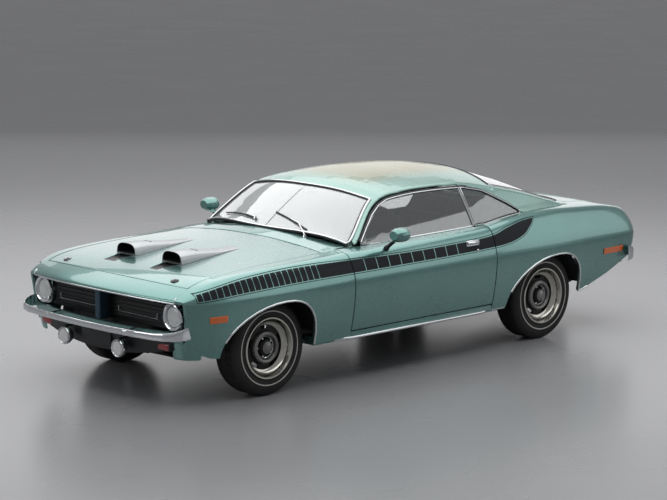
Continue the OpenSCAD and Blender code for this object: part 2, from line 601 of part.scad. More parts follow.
// Valance below the front bumper, with brackets for the road lamps
valance_half = half - 250;
module front_valance() {
    top = mouth_low_z - 63;
    g = [for (j = [0:24]) let (x = lerp(-valance_half, valance_half, j / 24),
        low = sill_height + 4 + 84 * abs(x / valance_half) ^ 2.4)
        [for (i = [0:5]) let (z = lerp(low, top, i / 5))
            [x, nose_y + 36 + nose_shift(x, lip_z) + 0.25 * (top - z), z]]];
    color("#17191b") resize([0, 0, 0]) {
        shell(g, moved(g, [0, 16, 0]));
        both_sides() {
            translate([road_x - 14, nose_y - 10, road_z + 59.8]) cube([28, 90, 16]);
            translate([road_x - 14, nose_y + 40, road_z + 59.8]) cube([28, 16, top - road_z - 62]);
        }
    }
}
// Bracket for a number plate, with the four holes of a standard plate
plate_y = tail_y - 46;
plate_z = belt_height - 480;
module plate_bracket() {
    color("#2a2c2e") difference() {
        union() {
            cross_bar(305, plate_y - 2, plate_z, 4, 152);
            let (y = tail_y - 23.8 - tail_shift(0, plate_z + 64))
                translate([-100, y, plate_z + 56]) cube([200, plate_y - 1 - y, 8]);
        }
        for (i = [-1, 1], k = [-1, 1]) translate([i * 89, plate_y, plate_z + k * 60.5])
            rotate([90, 0, 0]) cylinder(r = 3.5, h = 20, center = true, $fn = 32);
    }
}
module marker(y0, y1, z) {
    g = [for (i = [0:3]) let (y = lerp(y0, y1, i / 3)) [for (k = [0:2])
        let (h = z + 46 * (k / 2 - 0.5)) place([side_x(y, h) + 5, y, h])]];
    shell(g, moved(g, [-4.6, 0, 0]));
}
module marker_lamps() {
    color("#c8581c") both_sides() {
        marker(front_axle_y - 664, front_axle_y - 464, belt_height - 311);
        marker(rear_axle_y + 645, rear_axle_y + 845, belt_height - 311);
    }
}

// ---------- tail ----------
recess_y = tail_y - 24;
module tail_panel() {
    zl = belt_height - 440;
    edge = trunk_half + panel_gap - seam - 1;
    xs = [for (k = [0:24]) lerp(half_width(tail_y) - 27, -half_width(tail_y) + 27, k / 24)];
    face = [for (x = xs) [for (i = [0:10]) let (zt = top_z(x, tail_y)
        - (abs(x) < edge ? 9 : panel_wall + 1), z = lerp(zl, zt, i / 10),
        lim = side_x(tail_y, z) - panel_wall - 4, xx = min(max(x, -lim), lim))
        place([xx, tail_y, z]) - [0, 24, 0]]];
    back = [for (c = face) [for (i = [0:10]) c[i] - [0, i == 10 ? 7 : 18, 0]]];
    top = top_grid(trunk_rear_y + panel_gap, tail_y, edge, edge, 3, 16);
    rest = place([300, trunk_rear_y - 40, top_z(300, trunk_rear_y - 40)]) - [0, 0, lid_wall + 0.6];
    color("#3f9c8c") resize([0, 0, 0]) {
        shell(top, lowered(top, panel_wall));
        shell(face, back);
        both_sides() translate(rest) {
            translate([-15, -16, -50]) cube([30, 16, 50]);
            translate([-15, -16, -50]) cube([30, 84, 30]);
        }
    }
}
module tail_lamps() {
    color("#9c1f1c") both_sides() {
        g = [for (i = [0:8]) let (x = lerp(half - 190, 330, i / 8)) [for (k = [0:3])
            let (z = lerp(belt_height - 270, belt_height - 130, k / 3))
            place([x, tail_y, z]) - [0, 8, 0]]];
        shell(g, moved(g, [0, -15, 0]));
    }
}

// ---------- floor, frame and running gear ----------
floor_z = sill_height - 46;
tunnel_half = 150;
module rockers() {
    y0 = front_axle_y + 390;
    y1 = rear_axle_y - 440;
    x = side_x(0, sill_height + 10);
    color("#3f9c8c") both_sides() {
        translate([0, y1, 0]) rotate([90, 0, 0]) linear_extrude(height = y1 - y0) polygon([
            [cabin_half - 13.6, sill_height - 20], [x - 34, sill_height - 20], [x - 27, sill_height],
            [x - 27, sill_height + 38], [cabin_half - 13.6, sill_height + 38]]);
        translate([x - 30, door_front_y, sill_height - 12]) cube([30, door_rear_y - door_front_y, 50]);
    }
}
module floor_pan() {
    t = 12;
    kick = floor_z + 150;
    deck = floor_z + 212;
    color("#2b2f31") {
        difference() {
            extrude_x(14 - cabin_half, cabin_half - 14) polygon([[door_front_y - 24, floor_z + 220],
                [door_front_y - 24, floor_z + 190], [door_front_y + 190, floor_z],
                [door_rear_y - 140, floor_z], [door_rear_y + 40, kick - 20],
                [door_rear_y + 40, kick - 20 + t], [door_rear_y - 146, floor_z + t],
                [door_front_y + 194, floor_z + t]]);
            translate([0, door_front_y - 60, floor_z - 1]) rotate([-90, 0, 0]) linear_extrude(
                height = door_rear_y - door_front_y + 200) polygon([[-tunnel_half, 10],
                [-tunnel_half + 40, -230], [tunnel_half - 40, -230], [tunnel_half, 10]]);
        }
        translate([0, door_front_y - 16, floor_z]) rotate([-90, 0, 0]) linear_extrude(
            height = door_rear_y - door_front_y + 50) polygon([[-tunnel_half, 0],
            [-tunnel_half + 32, -202], [tunnel_half - 32, -202], [tunnel_half, 0],
            [tunnel_half - 12, 0], [tunnel_half - 42, -190], [-tunnel_half + 42, -190],
            [-tunnel_half + 12, 0]]);
        extrude_x(362 - half, half - 362) polygon([[door_rear_y + 34, kick - 20],
            [door_rear_y + 190, deck], [rear_axle_y + 330, deck], [rear_axle_y + 420, kick],
            [tail_y - 60, kick], [tail_y - 60, kick + t], [rear_axle_y + 424, kick + t],
            [rear_axle_y + 334, deck + t], [door_rear_y + 186, deck + t],
            [door_rear_y + 34, kick - 20 + t]]);
        both_sides() translate([half - 474, rear_axle_y - 480, kick - 38])
            cube([60, tail_y - rear_axle_y + 390, 38.5]);
    }
}
module frame() {
    y0 = nose_y + 172;
    y1 = door_front_y + 94;
    color("#202325") {
        both_sides() {
            translate([rail_x - 30, y0, floor_z - 14]) cube([60, y1 - y0, 96]);
            translate([rail_x - 60, y0, floor_z + 60]) cube([90, 24, 330]);
        }
        cross_bar(2 * rail_x + 60, front_axle_y - 20, floor_z - 34, 150, 60);
        cross_bar(2 * rail_x + 60, y0 + 12, floor_z + 376, 24, 40);
        cross_bar(2 * rail_x - 120, y0 + 18, floor_z + 200, 26, 300);
        both_sides() translate([rail_x + 20, grille_y + 12.4, lip_z - 130]) cube([half - rail_x - 170, 20, 60]);
    }
}
module arch_liner(y, x0, x1, r, wall) {
    difference() {
        axle_cylinder(r, x0, x1, y, axle_z);
        axle_cylinder(r - 8, x0 + wall, x1 + 1, y, axle_z);
        translate([x0 - 1, y - r - 1, axle_z - r - 1]) cube([x1 - x0 + 2, 2 * r + 2, r + 60]);
        translate([x0 - 1, y - 90.4, axle_z + knuckle_half - 35.4]) cube([wall + 2, 180.8, 18.8]);
    }
}
module wheel_houses() {
    color("#25282a") {
        both_sides() {
            arch_liner(front_axle_y, rail_x + 30.5, half - 88, tyre_radius + 106, 8);
            arch_liner(rear_axle_y, half - 361.5, half - 88, tyre_radius + 78, 8);
            translate([rail_x + 30.5, front_axle_y - 300, floor_z + 20]) cube([8, 600, 124]);
            translate([rail_x + 32, door_front_y - 52.4, floor_z + 50])
                cube([half - rail_x - 248, 12, 300]);
        }
    }
}
module rear_axle() {
    e = wheel_x + 30;
    f = wheel_x - 108;
    color("#2a2d2f") {
        translate([0, rear_axle_y, axle_z]) rotate([0, 90, 0]) rotate_extrude($fn = 64)
            polygon([[0, -e], [stub_radius, -e], [stub_radius, -f], [84, -f], [84, 20 - f],
                [40, 20 - f], [40, -160], [88, -105], [126, -48], [126, 48], [88, 105],
                [40, 160], [40, f - 20], [84, f - 20], [84, f], [stub_radius, f],
                [stub_radius, e], [0, e]]);
        translate([0, rear_axle_y - 216, axle_z]) rotate([-90, 0, 0])
            cylinder(r1 = 50, r2 = 66, h = 89.5, $fn = 48);
        translate([0, door_front_y + 260, axle_z + 2]) rotate([-90, 0, 0])
            cylinder(r = 38, h = rear_axle_y - 216.4 - door_front_y - 260, $fn = 48);
    }
}
knuckle_half = 118;
pin_radius = 14;
module suspension() {
    color("#2c2f31") {
        both_sides() {
            for (k = [-1, 1]) difference() {
                union() {
                    translate([rail_x + 30.4, front_axle_y - 90, axle_z + k * (knuckle_half - 26) - 9])
                        cube([60, 180, 18]);
                    translate([0, front_axle_y, axle_z + k * (knuckle_half - 26) - 9])
                        linear_extrude(height = 18) polygon([[rail_x + 31, -90], [kingpin_x, -26],
                        [kingpin_x, 26], [rail_x + 31, 90]]);
                    translate([kingpin_x, front_axle_y, axle_z + k * (knuckle_half - 26) - 13])
                        cylinder(r = 27, h = 26, $fn = 48);
                }
                translate([kingpin_x, front_axle_y, 0])
                    cylinder(r = pin_radius + 0.05, h = 900, $fn = 48);
            }
            translate([rail_x + 75, front_axle_y, axle_z - knuckle_half + 34])
                cylinder(r = 36, h = 2 * knuckle_half - 104, $fn = 32);
            extrude_x(half - 412, half - 352) polygon(concat(
                [for (k = [-8:8]) [rear_axle_y + 40 + k * 79, axle_z - 66 + 1.3 * k * k]],
                [for (k = [8:-1:-8]) [rear_axle_y + 40 + k * 79, axle_z - 41 + 1.3 * k * k]]));
            for (k = [-1, 1]) translate([half - 412, rear_axle_y + 40 + k * 632 - 14, axle_z + 17])
                cube([60, 28, floor_z + (k < 0 ? 110.6 : 149.6) - axle_z - 17]);
        }
    }
}
module knuckle_shape() {
    color("#54585b") {
        translate([kingpin_x, front_axle_y, axle_z]) {
            translate([0, 0, -knuckle_half]) cylinder(r = pin_radius, h = 2 * knuckle_half, $fn = 48);
            translate([0, 0, 14 - knuckle_half + 26]) cylinder(r = 30, h = 2 * knuckle_half - 80, $fn = 48);
        }
        axle_cylinder(44, kingpin_x - 20, kingpin_x + 34, front_axle_y, axle_z);
        axle_cylinder(stub_radius, kingpin_x, wheel_x + 30, front_axle_y, axle_z);
    }
}
module knuckle_left() {
    knuckle_shape();
}
module knuckle_right() {
    mirrored(true) knuckle_shape();
}

// Dished steel wheel with a hub, five openings and a domed cap
module wheel_at(y) {
    color("#b9bec0") translate([wheel_x, y, axle_z]) rotate([0, 90, 0]) difference() {
        rotate_extrude($fn = 96) polygon([[stub_radius + 0.05, -24], [60, -24], [62, 18],
            [118, 34], [150, 30], [rim_radius - 24, 4], [rim_radius - 24, -92],
            [rim_radius, -98], [rim_radius, -91], [rim_radius - 17, -84], [rim_radius - 17, 84],
            [rim_radius, 91], [rim_radius, 98], [rim_radius - 8, 98], [rim_radius - 24, 72],
            [rim_radius - 24, 18], [152, 42], [118, 46], [74, 32], [60, 40], [56, 60], [46, 76],
            [26, 84], [0, 86], [0, 32], [stub_radius + 0.05, 32]]);
        for (k = [0:4]) rotate([0, 0, 72 * k]) translate([-134, 0, 0])
            linear_extrude(height = 60) polygon([[-12, -34], [10, -28], [10, 28], [-12, 34]]);
    }
}
module tyre_at(y) {
    r = tyre_radius;
    w = tyre_width / 2;
    q = rim_radius - 16.8;
    color("#1b1b1c") translate([wheel_x, y, axle_z]) rotate([0, 90, 0]) rotate_extrude($fn = 128)
        polygon([[q, -w * 0.8], [q + 17, -w * 0.86], [q + 24, -w * 0.94], [lerp(q, r, 0.5), -w],
            [r - 34, -w * 0.965], [r - 14, -w * 0.86], [r - 3, -w * 0.74], [r, -w * 0.5],
            [r, w * 0.5], [r - 3, w * 0.74], [r - 14, w * 0.86], [r - 34, w * 0.965],
            [lerp(q, r, 0.5), w], [q + 24, w * 0.94], [q + 17, w * 0.86], [q, w * 0.8]]);
}
module wheel_front_left() {
    wheel_at(front_axle_y);
}
module wheel_front_right() {
    mirrored(true) wheel_at(front_axle_y);
}
module wheel_rear_left() {
    wheel_at(rear_axle_y);
}
module wheel_rear_right() {
    mirrored(true) wheel_at(rear_axle_y);
}
module tyre_front_left() {
    tyre_at(front_axle_y);
}
module tyre_front_right() {
    mirrored(true) tyre_at(front_axle_y);
}
module tyre_rear_left() {
    tyre_at(rear_axle_y);
}
module tyre_rear_right() {
    mirrored(true) tyre_at(rear_axle_y);
}

// Engine and gearbox as one plain block at its real place and size
block_half = rail_x - 175;
module engine() {
    color("#3a3e40") {
        translate([-block_half, front_axle_y - 330, floor_z + 30]) cube([2 * block_half, 620, 400]);
        translate([-115, front_axle_y + 289, floor_z + 20]) cube([230, 300, 230]);
        translate([-80, front_axle_y + 588, floor_z + 20])
            cube([160, door_front_y + 259.5 - front_axle_y - 588, 120]);
        both_sides() translate([block_half - 1, front_axle_y - 60, floor_z + 50])
            cube([rail_x - 29.3 - block_half, 120, 30]);
    }
}
exhaust_z = floor_z - 36;
exhaust_x = min(235, rail_x - 64);
module exhaust() {
    y0 = front_axle_y + 330;
    color("#6c7073") both_sides() {
        translate([exhaust_x, y0, exhaust_z]) rotate([-90, 0, 0]) cylinder(r = 28, h = tail_y - 90 - y0, $fn = 40);
        translate([exhaust_x - 75, rear_axle_y - 760, exhaust_z - 42]) cube([150, 430, 77]);
        for (y = [door_front_y + 330, door_rear_y - 360]) translate([exhaust_x - 8, y, exhaust_z])
            cube([16, 20, 35.8]);
        translate([exhaust_x - 8, rear_axle_y + 902, exhaust_z]) cube([16, 20, 185.8]);
    }
}
tank_half = half - 621;
module fuel_tank() {
    color("#4d5052") difference() {
        translate([-tank_half, rear_axle_y + 430, floor_z - 12]) cube([2 * tank_half, 460, 161.8]);
        for (k = [-1, 1]) translate([k * exhaust_x, rear_axle_y + 420, exhaust_z]) rotate([-90, 0, 0])
            cylinder(r = 40, h = 500, $fn = 40);
    }
}

// ---------- interior ----------
cabin_half = half - door_wall;
seat_width = cabin_half - 269;
seat_x = tunnel_half - 10 + seat_width / 2;
column_x = seat_x - 10;
column_y = door_front_y + 395;
column_z = belt_height - 105;
column_tilt = 114;
module dashboard() {
    color("#1e2123") {
        extrude_x(60 - cabin_half, cabin_half - 60) polygon([[door_front_y + 120, belt_height - 190],
            [door_front_y + 282, belt_height - 200], [door_front_y + 292, belt_height - 60],
            [door_front_y + 250, belt_height - 26], [door_front_y + 120, belt_height - 26]]);
        extrude_x(60 - cabin_half, cabin_half - 60) polygon([[door_front_y - 23.7, belt_height - 80],
            [door_front_y + 121, belt_height - 80], [door_front_y + 121, belt_height - 20],
            [door_front_y - 23.7, belt_height - 30]]);
        translate([column_x, column_y, column_z]) rotate([column_tilt, 0, 0])
            translate([0, 0, 30]) cylinder(r = 26, h = 190, $fn = 40);
        translate([column_x, column_y, column_z]) rotate([column_tilt, 0, 0])
            cylinder(r = 11, h = 40, $fn = 40);
    }
}
module steering_wheel() {
    color("#26292b") translate([column_x, column_y, column_z]) rotate([column_tilt, 0, 0]) {
        rotate_extrude($fn = 72) translate([180, 0]) circle(r = 12, $fn = 24);
        difference() {
            translate([0, 0, -16]) cylinder(r = 42, h = 36, $fn = 48);
            translate([0, 0, -1]) cylinder(r = 11.05, h = 60, $fn = 40);
        }
        for (a = [0, 120, 240]) rotate([0, 0, a + 90]) translate([36, -13, -4]) cube([140, 26, 8]);
    }
}
module seat_block(w, base_y0, base_len, z0, h, back_h, lean_y) {
    translate([-w / 2, 0, 0]) {
        translate([0, base_y0, z0]) cube([w, base_len, h]);
        translate([w, 0, 0]) rotate([0, -90, 0]) linear_extrude(height = w) polygon([
            [z0 + h - 40, base_y0 + base_len - 120], [z0 + h - 40, base_y0 + base_len],
            [z0 + back_h, base_y0 + base_len + lean_y], [z0 + back_h, base_y0 + base_len + lean_y - 85]]);
    }
}
module front_seats() {
    color("#2d3133") both_sides() translate([seat_x, 0, 0]) {
        seat_block(seat_width, door_front_y + 600, 520, floor_z + 92, 170, 700, 190);
        translate([55 - seat_width / 2, door_front_y + 640, floor_z + 12]) cube([seat_width - 110, 420, 81]);
    }
}
module rear_seat() {
    color("#2d3133") seat_block(2 * half - 762, door_rear_y + 44, 420, floor_z + 224.5, 120, 590, 150);
}

floor_pan();
frame();
wheel_houses();
cowl();
nose_panel();
grille();
headlights();
front_bumper();
road_lamps();
front_valance();
marker_lamps();
fenders();
rockers();
quarter_panels();
roof();
sail_panels();
windshield();
rear_window();
quarter_glass();
rear_deck();
tail_panel();
tail_lamps();
rear_bumper();
plate_bracket();
dashboard();
front_seats();
rear_seat();
engine();
rear_axle();
suspension();
exhaust();
fuel_tank();
steering_wheel();
hood();
hood_scoops();
trunk_lid();
door_left();
door_right();
door_glass_left();
door_glass_right();
mirror_left();
mirror_right();
knuckle_left();
knuckle_right();
wheel_front_left();
wheel_front_right();
wheel_rear_left();
wheel_rear_right();
tyre_front_left();
tyre_front_right();
tyre_rear_left();
tyre_rear_right();
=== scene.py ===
"""Looks of the two-door muscle car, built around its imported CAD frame."""
import json
import math

import bpy
from mathutils import Matrix, Vector
from mathutils.bvhtree import BVHTree

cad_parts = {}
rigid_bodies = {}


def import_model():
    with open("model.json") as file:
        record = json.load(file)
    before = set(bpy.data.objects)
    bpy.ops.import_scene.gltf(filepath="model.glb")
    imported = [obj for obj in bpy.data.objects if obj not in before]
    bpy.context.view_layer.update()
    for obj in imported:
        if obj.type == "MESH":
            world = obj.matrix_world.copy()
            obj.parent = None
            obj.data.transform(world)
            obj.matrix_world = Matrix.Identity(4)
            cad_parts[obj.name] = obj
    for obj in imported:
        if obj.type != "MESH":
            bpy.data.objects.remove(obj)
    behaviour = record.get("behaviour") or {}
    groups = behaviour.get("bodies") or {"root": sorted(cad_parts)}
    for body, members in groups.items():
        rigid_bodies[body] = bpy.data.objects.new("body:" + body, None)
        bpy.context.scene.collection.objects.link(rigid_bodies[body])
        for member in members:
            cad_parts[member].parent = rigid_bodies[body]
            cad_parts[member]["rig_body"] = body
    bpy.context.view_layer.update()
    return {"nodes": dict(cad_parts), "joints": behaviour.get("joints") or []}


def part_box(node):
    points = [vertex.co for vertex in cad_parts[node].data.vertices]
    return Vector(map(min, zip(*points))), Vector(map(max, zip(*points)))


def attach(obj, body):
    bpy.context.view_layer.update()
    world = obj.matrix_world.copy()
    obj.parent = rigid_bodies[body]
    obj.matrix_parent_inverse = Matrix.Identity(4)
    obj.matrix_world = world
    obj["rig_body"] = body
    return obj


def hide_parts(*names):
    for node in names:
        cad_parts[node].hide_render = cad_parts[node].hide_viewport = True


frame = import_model()
nodes = frame["nodes"]
joints = {j["name"]: Vector(j["pos_m"]) for j in frame["joints"]}

# ---------------------------------------------------------------- places taken from the frame
# The frame's +x is the car's left and its -y the car's front.
SIDES = {"left": 1, "right": -1}
WHEELS = {name[:-5]: joints[name] for name in joints if name.endswith("_roll")}
CREASE_Z = 0.700  # the body crease along the sides
DOOR_FRONT, DOOR_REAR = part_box("door_left")[0].y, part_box("door_left")[1].y
TYRE_R = (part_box("tyre_front_left")[1].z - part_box("tyre_front_left")[0].z) / 2
TYRE_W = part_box("tyre_front_left")[1].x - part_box("tyre_front_left")[0].x
SCOOP_X = 0.2445  # each scoop's middle line
LOWER_FRONT = -2.030  # where the fenders' lower front corners start
HALF_LENGTH = 2.371
ORIGIN, UP = (0, 0, 0), (0, 0, 1)
AHEAD, ASTERN, ACROSS = (0, -1, 0), (0, 1, 0), (1, 0, 0)
MIRROR = Matrix.Scale(-1, 4, ACROSS)


# ---------------------------------------------------------------- modelling tools
def only(obj):
    bpy.ops.object.select_all(action="DESELECT")
    obj.select_set(True)
    bpy.context.view_layer.objects.active = obj
    return obj


def edit_mode(kind):
    bpy.ops.object.mode_set(mode="EDIT")
    bpy.ops.mesh.select_mode(type=kind)


def object_mode():
    bpy.ops.object.mode_set(mode="OBJECT")


def on_all(obj, operator, kind="FACE", **settings):
    """Runs one edit operator on the whole of an object's mesh."""
    only(obj)
    edit_mode(kind)
    bpy.ops.mesh.select_all(action="SELECT")
    operator(**settings)
    object_mode()


def none_selected(obj, kind):
    """Clears an object's selection, so that faces or edges can be chosen in code."""
    only(obj)
    edit_mode(kind)
    bpy.ops.mesh.select_all(action="DESELECT")
    object_mode()


def new_primitive(add, **settings):
    """Adds a primitive, lamp or camera with nothing else selected."""
    bpy.ops.object.select_all(action="DESELECT")
    add(**settings)
    return bpy.context.active_object


def modify(obj, kind, **settings):
    """Adds one modifier and applies it."""
    only(obj)
    modifier = obj.modifiers.new(kind.lower(), kind)
    for key, value in settings.items():
        setattr(modifier, key, value)
    bpy.ops.object.modifier_apply(modifier=modifier.name)


def smooth(obj, angle=35):
    only(obj)
    bpy.ops.object.shade_smooth_by_angle(angle=math.radians(angle))


def placed(obj, matrix):
    """Puts a finished object at its place, with the place in its mesh."""
    obj.matrix_world = matrix
    only(obj)
    bpy.ops.object.transform_apply(location=True, rotation=True, scale=True)
    return obj


def outward_from(obj, side):
    """Turns an open sheet's faces towards its own side of the car."""
    mean = sum((face.normal.x * side - face.normal.y for face in obj.data.polygons))
    if mean < 0:
        on_all(obj, bpy.ops.mesh.flip_normals)


def clone(obj, name, matrix=None):
    """A copy with its own mesh; a mirrored one gets its faces turned back out."""
    twin = bpy.data.objects.new(name, obj.data.copy())
    bpy.context.scene.collection.objects.link(twin)
    if matrix is not None:
        twin.data.transform(matrix)
        if matrix.determinant() < 0:
            on_all(twin, bpy.ops.mesh.flip_normals)
    return twin


def joined(name, pieces):
    bpy.ops.object.select_all(action="DESELECT")
    for piece in pieces:
        piece.select_set(True)
    bpy.context.view_layer.objects.active = pieces[0]
    if len(pieces) > 1:
        bpy.ops.object.join()
    pieces[0].name = name
    return pieces[0]


def wire(points):
    """A chain of edges, extruded point by point."""
    obj = new_primitive(bpy.ops.mesh.primitive_plane_add, size=0.01)
    edit_mode("VERT")
    bpy.ops.mesh.select_all(action="SELECT")
    bpy.ops.mesh.merge(type="CENTER")
    bpy.ops.transform.translate(value=points[0])
    for a, b in zip(points, points[1:]):
        step = Vector(b) - Vector(a)
        bpy.ops.mesh.extrude_region_move(TRANSFORM_OT_translate={"value": step})
    object_mode()
    return obj


def turned(profile, centre=ORIGIN, axis=UP, steps=64):
    """A profile of (radius, height) points spun about an axis through centre."""
    obj = wire([(r, 0, h) for r, h in profile])
    edit_mode("VERT")
    bpy.ops.mesh.select_all(action="SELECT")
    bpy.ops.mesh.spin(steps=steps, angle=2 * math.pi, center=ORIGIN, axis=UP)
    bpy.ops.mesh.select_all(action="SELECT")
    bpy.ops.mesh.remove_doubles(threshold=1e-5)
    bpy.ops.mesh.normals_make_consistent(inside=False)
    object_mode()
    turn = Vector(UP).rotation_difference(Vector(axis)).to_matrix().to_4x4()
    placed(obj, Matrix.Translation(centre) @ turn)
    smooth(obj, 30)
    return obj


def thicken(obj, radius, resolution=3):
    """Turns a chain of edges into a round bar."""
    only(obj)
    bpy.ops.object.convert(target="CURVE")
    curve = bpy.context.active_object
    curve.data.bevel_depth = radius
    curve.data.bevel_resolution = resolution
    curve.data.use_fill_caps = True
    bpy.ops.object.convert(target="MESH")
    bar = bpy.context.active_object
    on_all(bar, bpy.ops.mesh.normals_make_consistent, inside=False)
    smooth(bar, 50)
    return bar


def rod(points, radius, resolution=3):
    return thicken(wire(points), radius, resolution)


def block(low, high, bevel=0.004, segments=3):
    """A box between two corners with rounded edges."""
    low, high = Vector(low), Vector(high)
    obj = new_primitive(bpy.ops.mesh.primitive_cube_add, size=1, location=(low + high) / 2)
    obj.scale = [abs(c) for c in high - low]
    bpy.ops.object.transform_apply(location=True, rotation=True, scale=True)
    modify(obj, "BEVEL", width=bevel, segments=segments, limit_method="ANGLE")
    smooth(obj, 35)
    return obj


def node_copy(node):
    """A merged copy of a CAD node's mesh."""
    obj = bpy.data.objects.new(node + "_copy", nodes[node].data.copy())
    bpy.context.scene.collection.objects.link(obj)
    only(obj)
    edit_mode("FACE")
    bpy.ops.mesh.select_all(action="SELECT")
    bpy.ops.mesh.remove_doubles(threshold=5e-5)
    bpy.ops.mesh.tris_convert_to_quads(face_threshold=math.radians(30), shape_threshold=math.pi)
    object_mode()
    obj.data.materials.clear()
    return obj


def crease_edges(obj, wanted, value):
    """Creases the edges whose two ends are both wanted."""
    none_selected(obj, "EDGE")
    points = obj.data.vertices
    for edge in obj.data.edges:
        edge.select = all(wanted(points[i].co) for i in edge.vertices)
    edit_mode("EDGE")
    bpy.ops.transform.edge_crease(value=value)
    object_mode()


def paint_faces(obj, material, wanted):
    """Gives the faces that are wanted (by centre and normal) another material."""
    obj.data.materials.append(material)
    index = len(obj.data.materials) - 1
    for face in obj.data.polygons:
        if wanted(face.center, face.normal):
            face.material_index = index


def skin(node, name, material, bevel=0.0025, levels=1, crease=False, angle=32):
    """A stand-in for a CAD node at its place: edges rounded, subdivided where asked."""
    obj = node_copy(node)
    if crease:
        crease_edges(obj, lambda p: abs(p.z - CREASE_Z) < 0.0006 and abs(p.x) > 0.6, 0.75)
    if bevel:
        modify(obj, "BEVEL", width=bevel, segments=2, limit_method="ANGLE",
               angle_limit=math.radians(40))
    if levels:
        modify(obj, "SUBSURF", levels=levels, render_levels=levels)
    smooth(obj, angle)
    obj.name = name
    obj.data.materials.append(material)
    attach(obj, nodes[node]["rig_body"])
    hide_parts(node)
    return obj


def remelt(obj, voxel, rounds):
    """Melts a faceted union into one even, smooth surface."""
    modify(obj, "REMESH", mode="VOXEL", voxel_size=voxel)
    modify(obj, "SMOOTH", factor=0.5, iterations=rounds)
    smooth(obj, 60)


def border(node, radius, facing=None, wanted=None, shift=0.0):
    """A round moulding on a node's sharp edges, on faces that look outward or along facing."""
    obj = node_copy(node)
    none_selected(obj, "EDGE")
    edit_mode("EDGE")
    bpy.ops.mesh.edges_select_sharp(sharpness=math.radians(40))
    object_mode()
    sides = {}
    for face in obj.data.polygons:
        for key in face.edge_keys:
            sides.setdefault(key, []).append(face.normal)
    points = obj.data.vertices
    chosen = set()
    for edge in obj.data.edges:
        a, b = (points[i].co for i in edge.vertices)
        middle = (a + b) / 2
        look = Vector(facing or (math.copysign(1, middle.x), 0, 0))
        asked = edge.select and (wanted is None or wanted(middle))
        if asked and max(n.dot(look) for n in sides[edge.key]) > 0.6:
            chosen.add(edge.index)
    for part in (*points, *obj.data.polygons, *obj.data.edges):
        part.select = False
    for index in chosen:
        edge = obj.data.edges[index]
        edge.select = True
        for i in edge.vertices:
            points[i].select = True
    edit_mode("EDGE")
    bpy.ops.mesh.select_all(action="INVERT")
    bpy.ops.mesh.delete(type="EDGE")
    object_mode()
    for point in obj.data.vertices:
        point.co.x += math.copysign(shift, point.co.x)
    return thicken(obj, radius)


ray_trees = {}


def hit(node, origin, direction):
    """The point where a ray first meets a CAD node, or None."""
    if node not in ray_trees:
        mesh = nodes[node].data
        ray_trees[node] = BVHTree.FromPolygons([v.co for v in mesh.vertices],
                                               [p.vertices for p in mesh.polygons])
    return ray_trees[node].ray_cast(Vector(origin), Vector(direction))[0]


def above(node, x, y):
    return hit(node, (x, y, 3), (0, 0, -1))


def beside(node, side, y, z):
    return hit(node, (side * 2, y, z), (-side, 0, 0))


def in_front(node, x, z):
    return hit(node, (x, -4, z), (0, 1, 0))


def share(distance, span):
    """How far along a span a distance is, from 0 to 1."""
    return min(1.0, max(0.0, distance / span))


def made(name, pieces, material, body="body", stands_for=()):
    """Joins pieces into one named object with its material, on its body."""
    obj = joined(name, pieces)
    obj.data.materials.clear()
    obj.data.materials.append(material)
    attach(obj, body)
    if stands_for:
        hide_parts(*stands_for)


def bright(name, pieces, body="body"):
    """A chrome piece of trim."""
    made(name, pieces, chrome, body)


def dark(name, pieces, body="body"):
    """A black piece of trim."""
    made(name, pieces, trim_black, body)


# ---------------------------------------------------------------- shader tools
def rgb(r, g, b):
    """sRGB 0-255 to the linear colour that a socket takes."""
    def linear(c):
        c /= 255
        return c / 12.92 if c <= 0.04045 else ((c + 0.055) / 1.055) ** 2.4
    return (linear(r), linear(g), linear(b), 1.0)


def shade(color, factor):
    return tuple(c * factor for c in color[:3]) + (1.0,)


class Tree:
    """Short ways to add and link nodes in one node tree."""

    def __init__(self, tree):
        self.tree = tree

    def add(self, kind, settings=None, **inputs):
        node = self.tree.nodes.new(kind)
        for key, value in (settings or {}).items():
            setattr(node, key, value)
        for key, value in inputs.items():
            name = key.replace("_", " ").title() if key not in node.inputs else key
            self.put(value, node.inputs[name])
        return node

    def put(self, value, socket):
        if isinstance(value, bpy.types.NodeSocket):
            self.tree.links.new(value, socket)
        else:
            socket.default_value = value

    def fed(self, node, values):
        """Gives a node's sockets their values and returns the node's outputs."""
        for socket, value in values.items():
            self.put(value, node.inputs[socket])
        return node.outputs

    def math(self, operation, a, b=0.0, c=0.0):
        node = self.tree.nodes.new("ShaderNodeMath")
        node.operation = operation
        return self.fed(node, {0: a, 1: b, 2: c})[0]

    def times(self, a, b):
        return self.math("MULTIPLY", a, b)

    def minus(self, a, b):
        return self.math("SUBTRACT", a, b)

    def mix(self, factor, a, b):
        node = self.tree.nodes.new("ShaderNodeMix")
        node.data_type = "RGBA"
        return self.fed(node, {0: factor, 6: a, 7: b})[2]

    def noise(self, scale, detail=2.0, vector=None):
        node = self.tree.nodes.new("ShaderNodeTexNoise")
        return self.fed(node, {"Scale": scale, "Detail": detail,
                               "Vector": vector or self.place()})[0]

    def place(self):
        return self.tree.nodes.new("ShaderNodeTexCoord").outputs["Object"]

    def xyz(self):
        node = self.tree.nodes.new("ShaderNodeSeparateXYZ")
        return tuple(self.fed(node, {0: self.place()}))

    def bump(self, height, strength, distance):
        node = self.tree.nodes.new("ShaderNodeBump")
        return self.fed(node, {"Height": height, "Strength": strength, "Distance": distance})[0]

    def ramp(self, value, low, high):
        """0 below low, 1 above high, smooth between."""
        node = self.tree.nodes.new("ShaderNodeMapRange")
        node.interpolation_type = "SMOOTHSTEP"
        return self.fed(node, {"Value": value, "From Min": low, "From Max": high})[0]

    def group(self, tree, **inputs):
        node = self.tree.nodes.new("ShaderNodeGroup")
        node.node_tree = tree
        return self.fed(node, inputs)


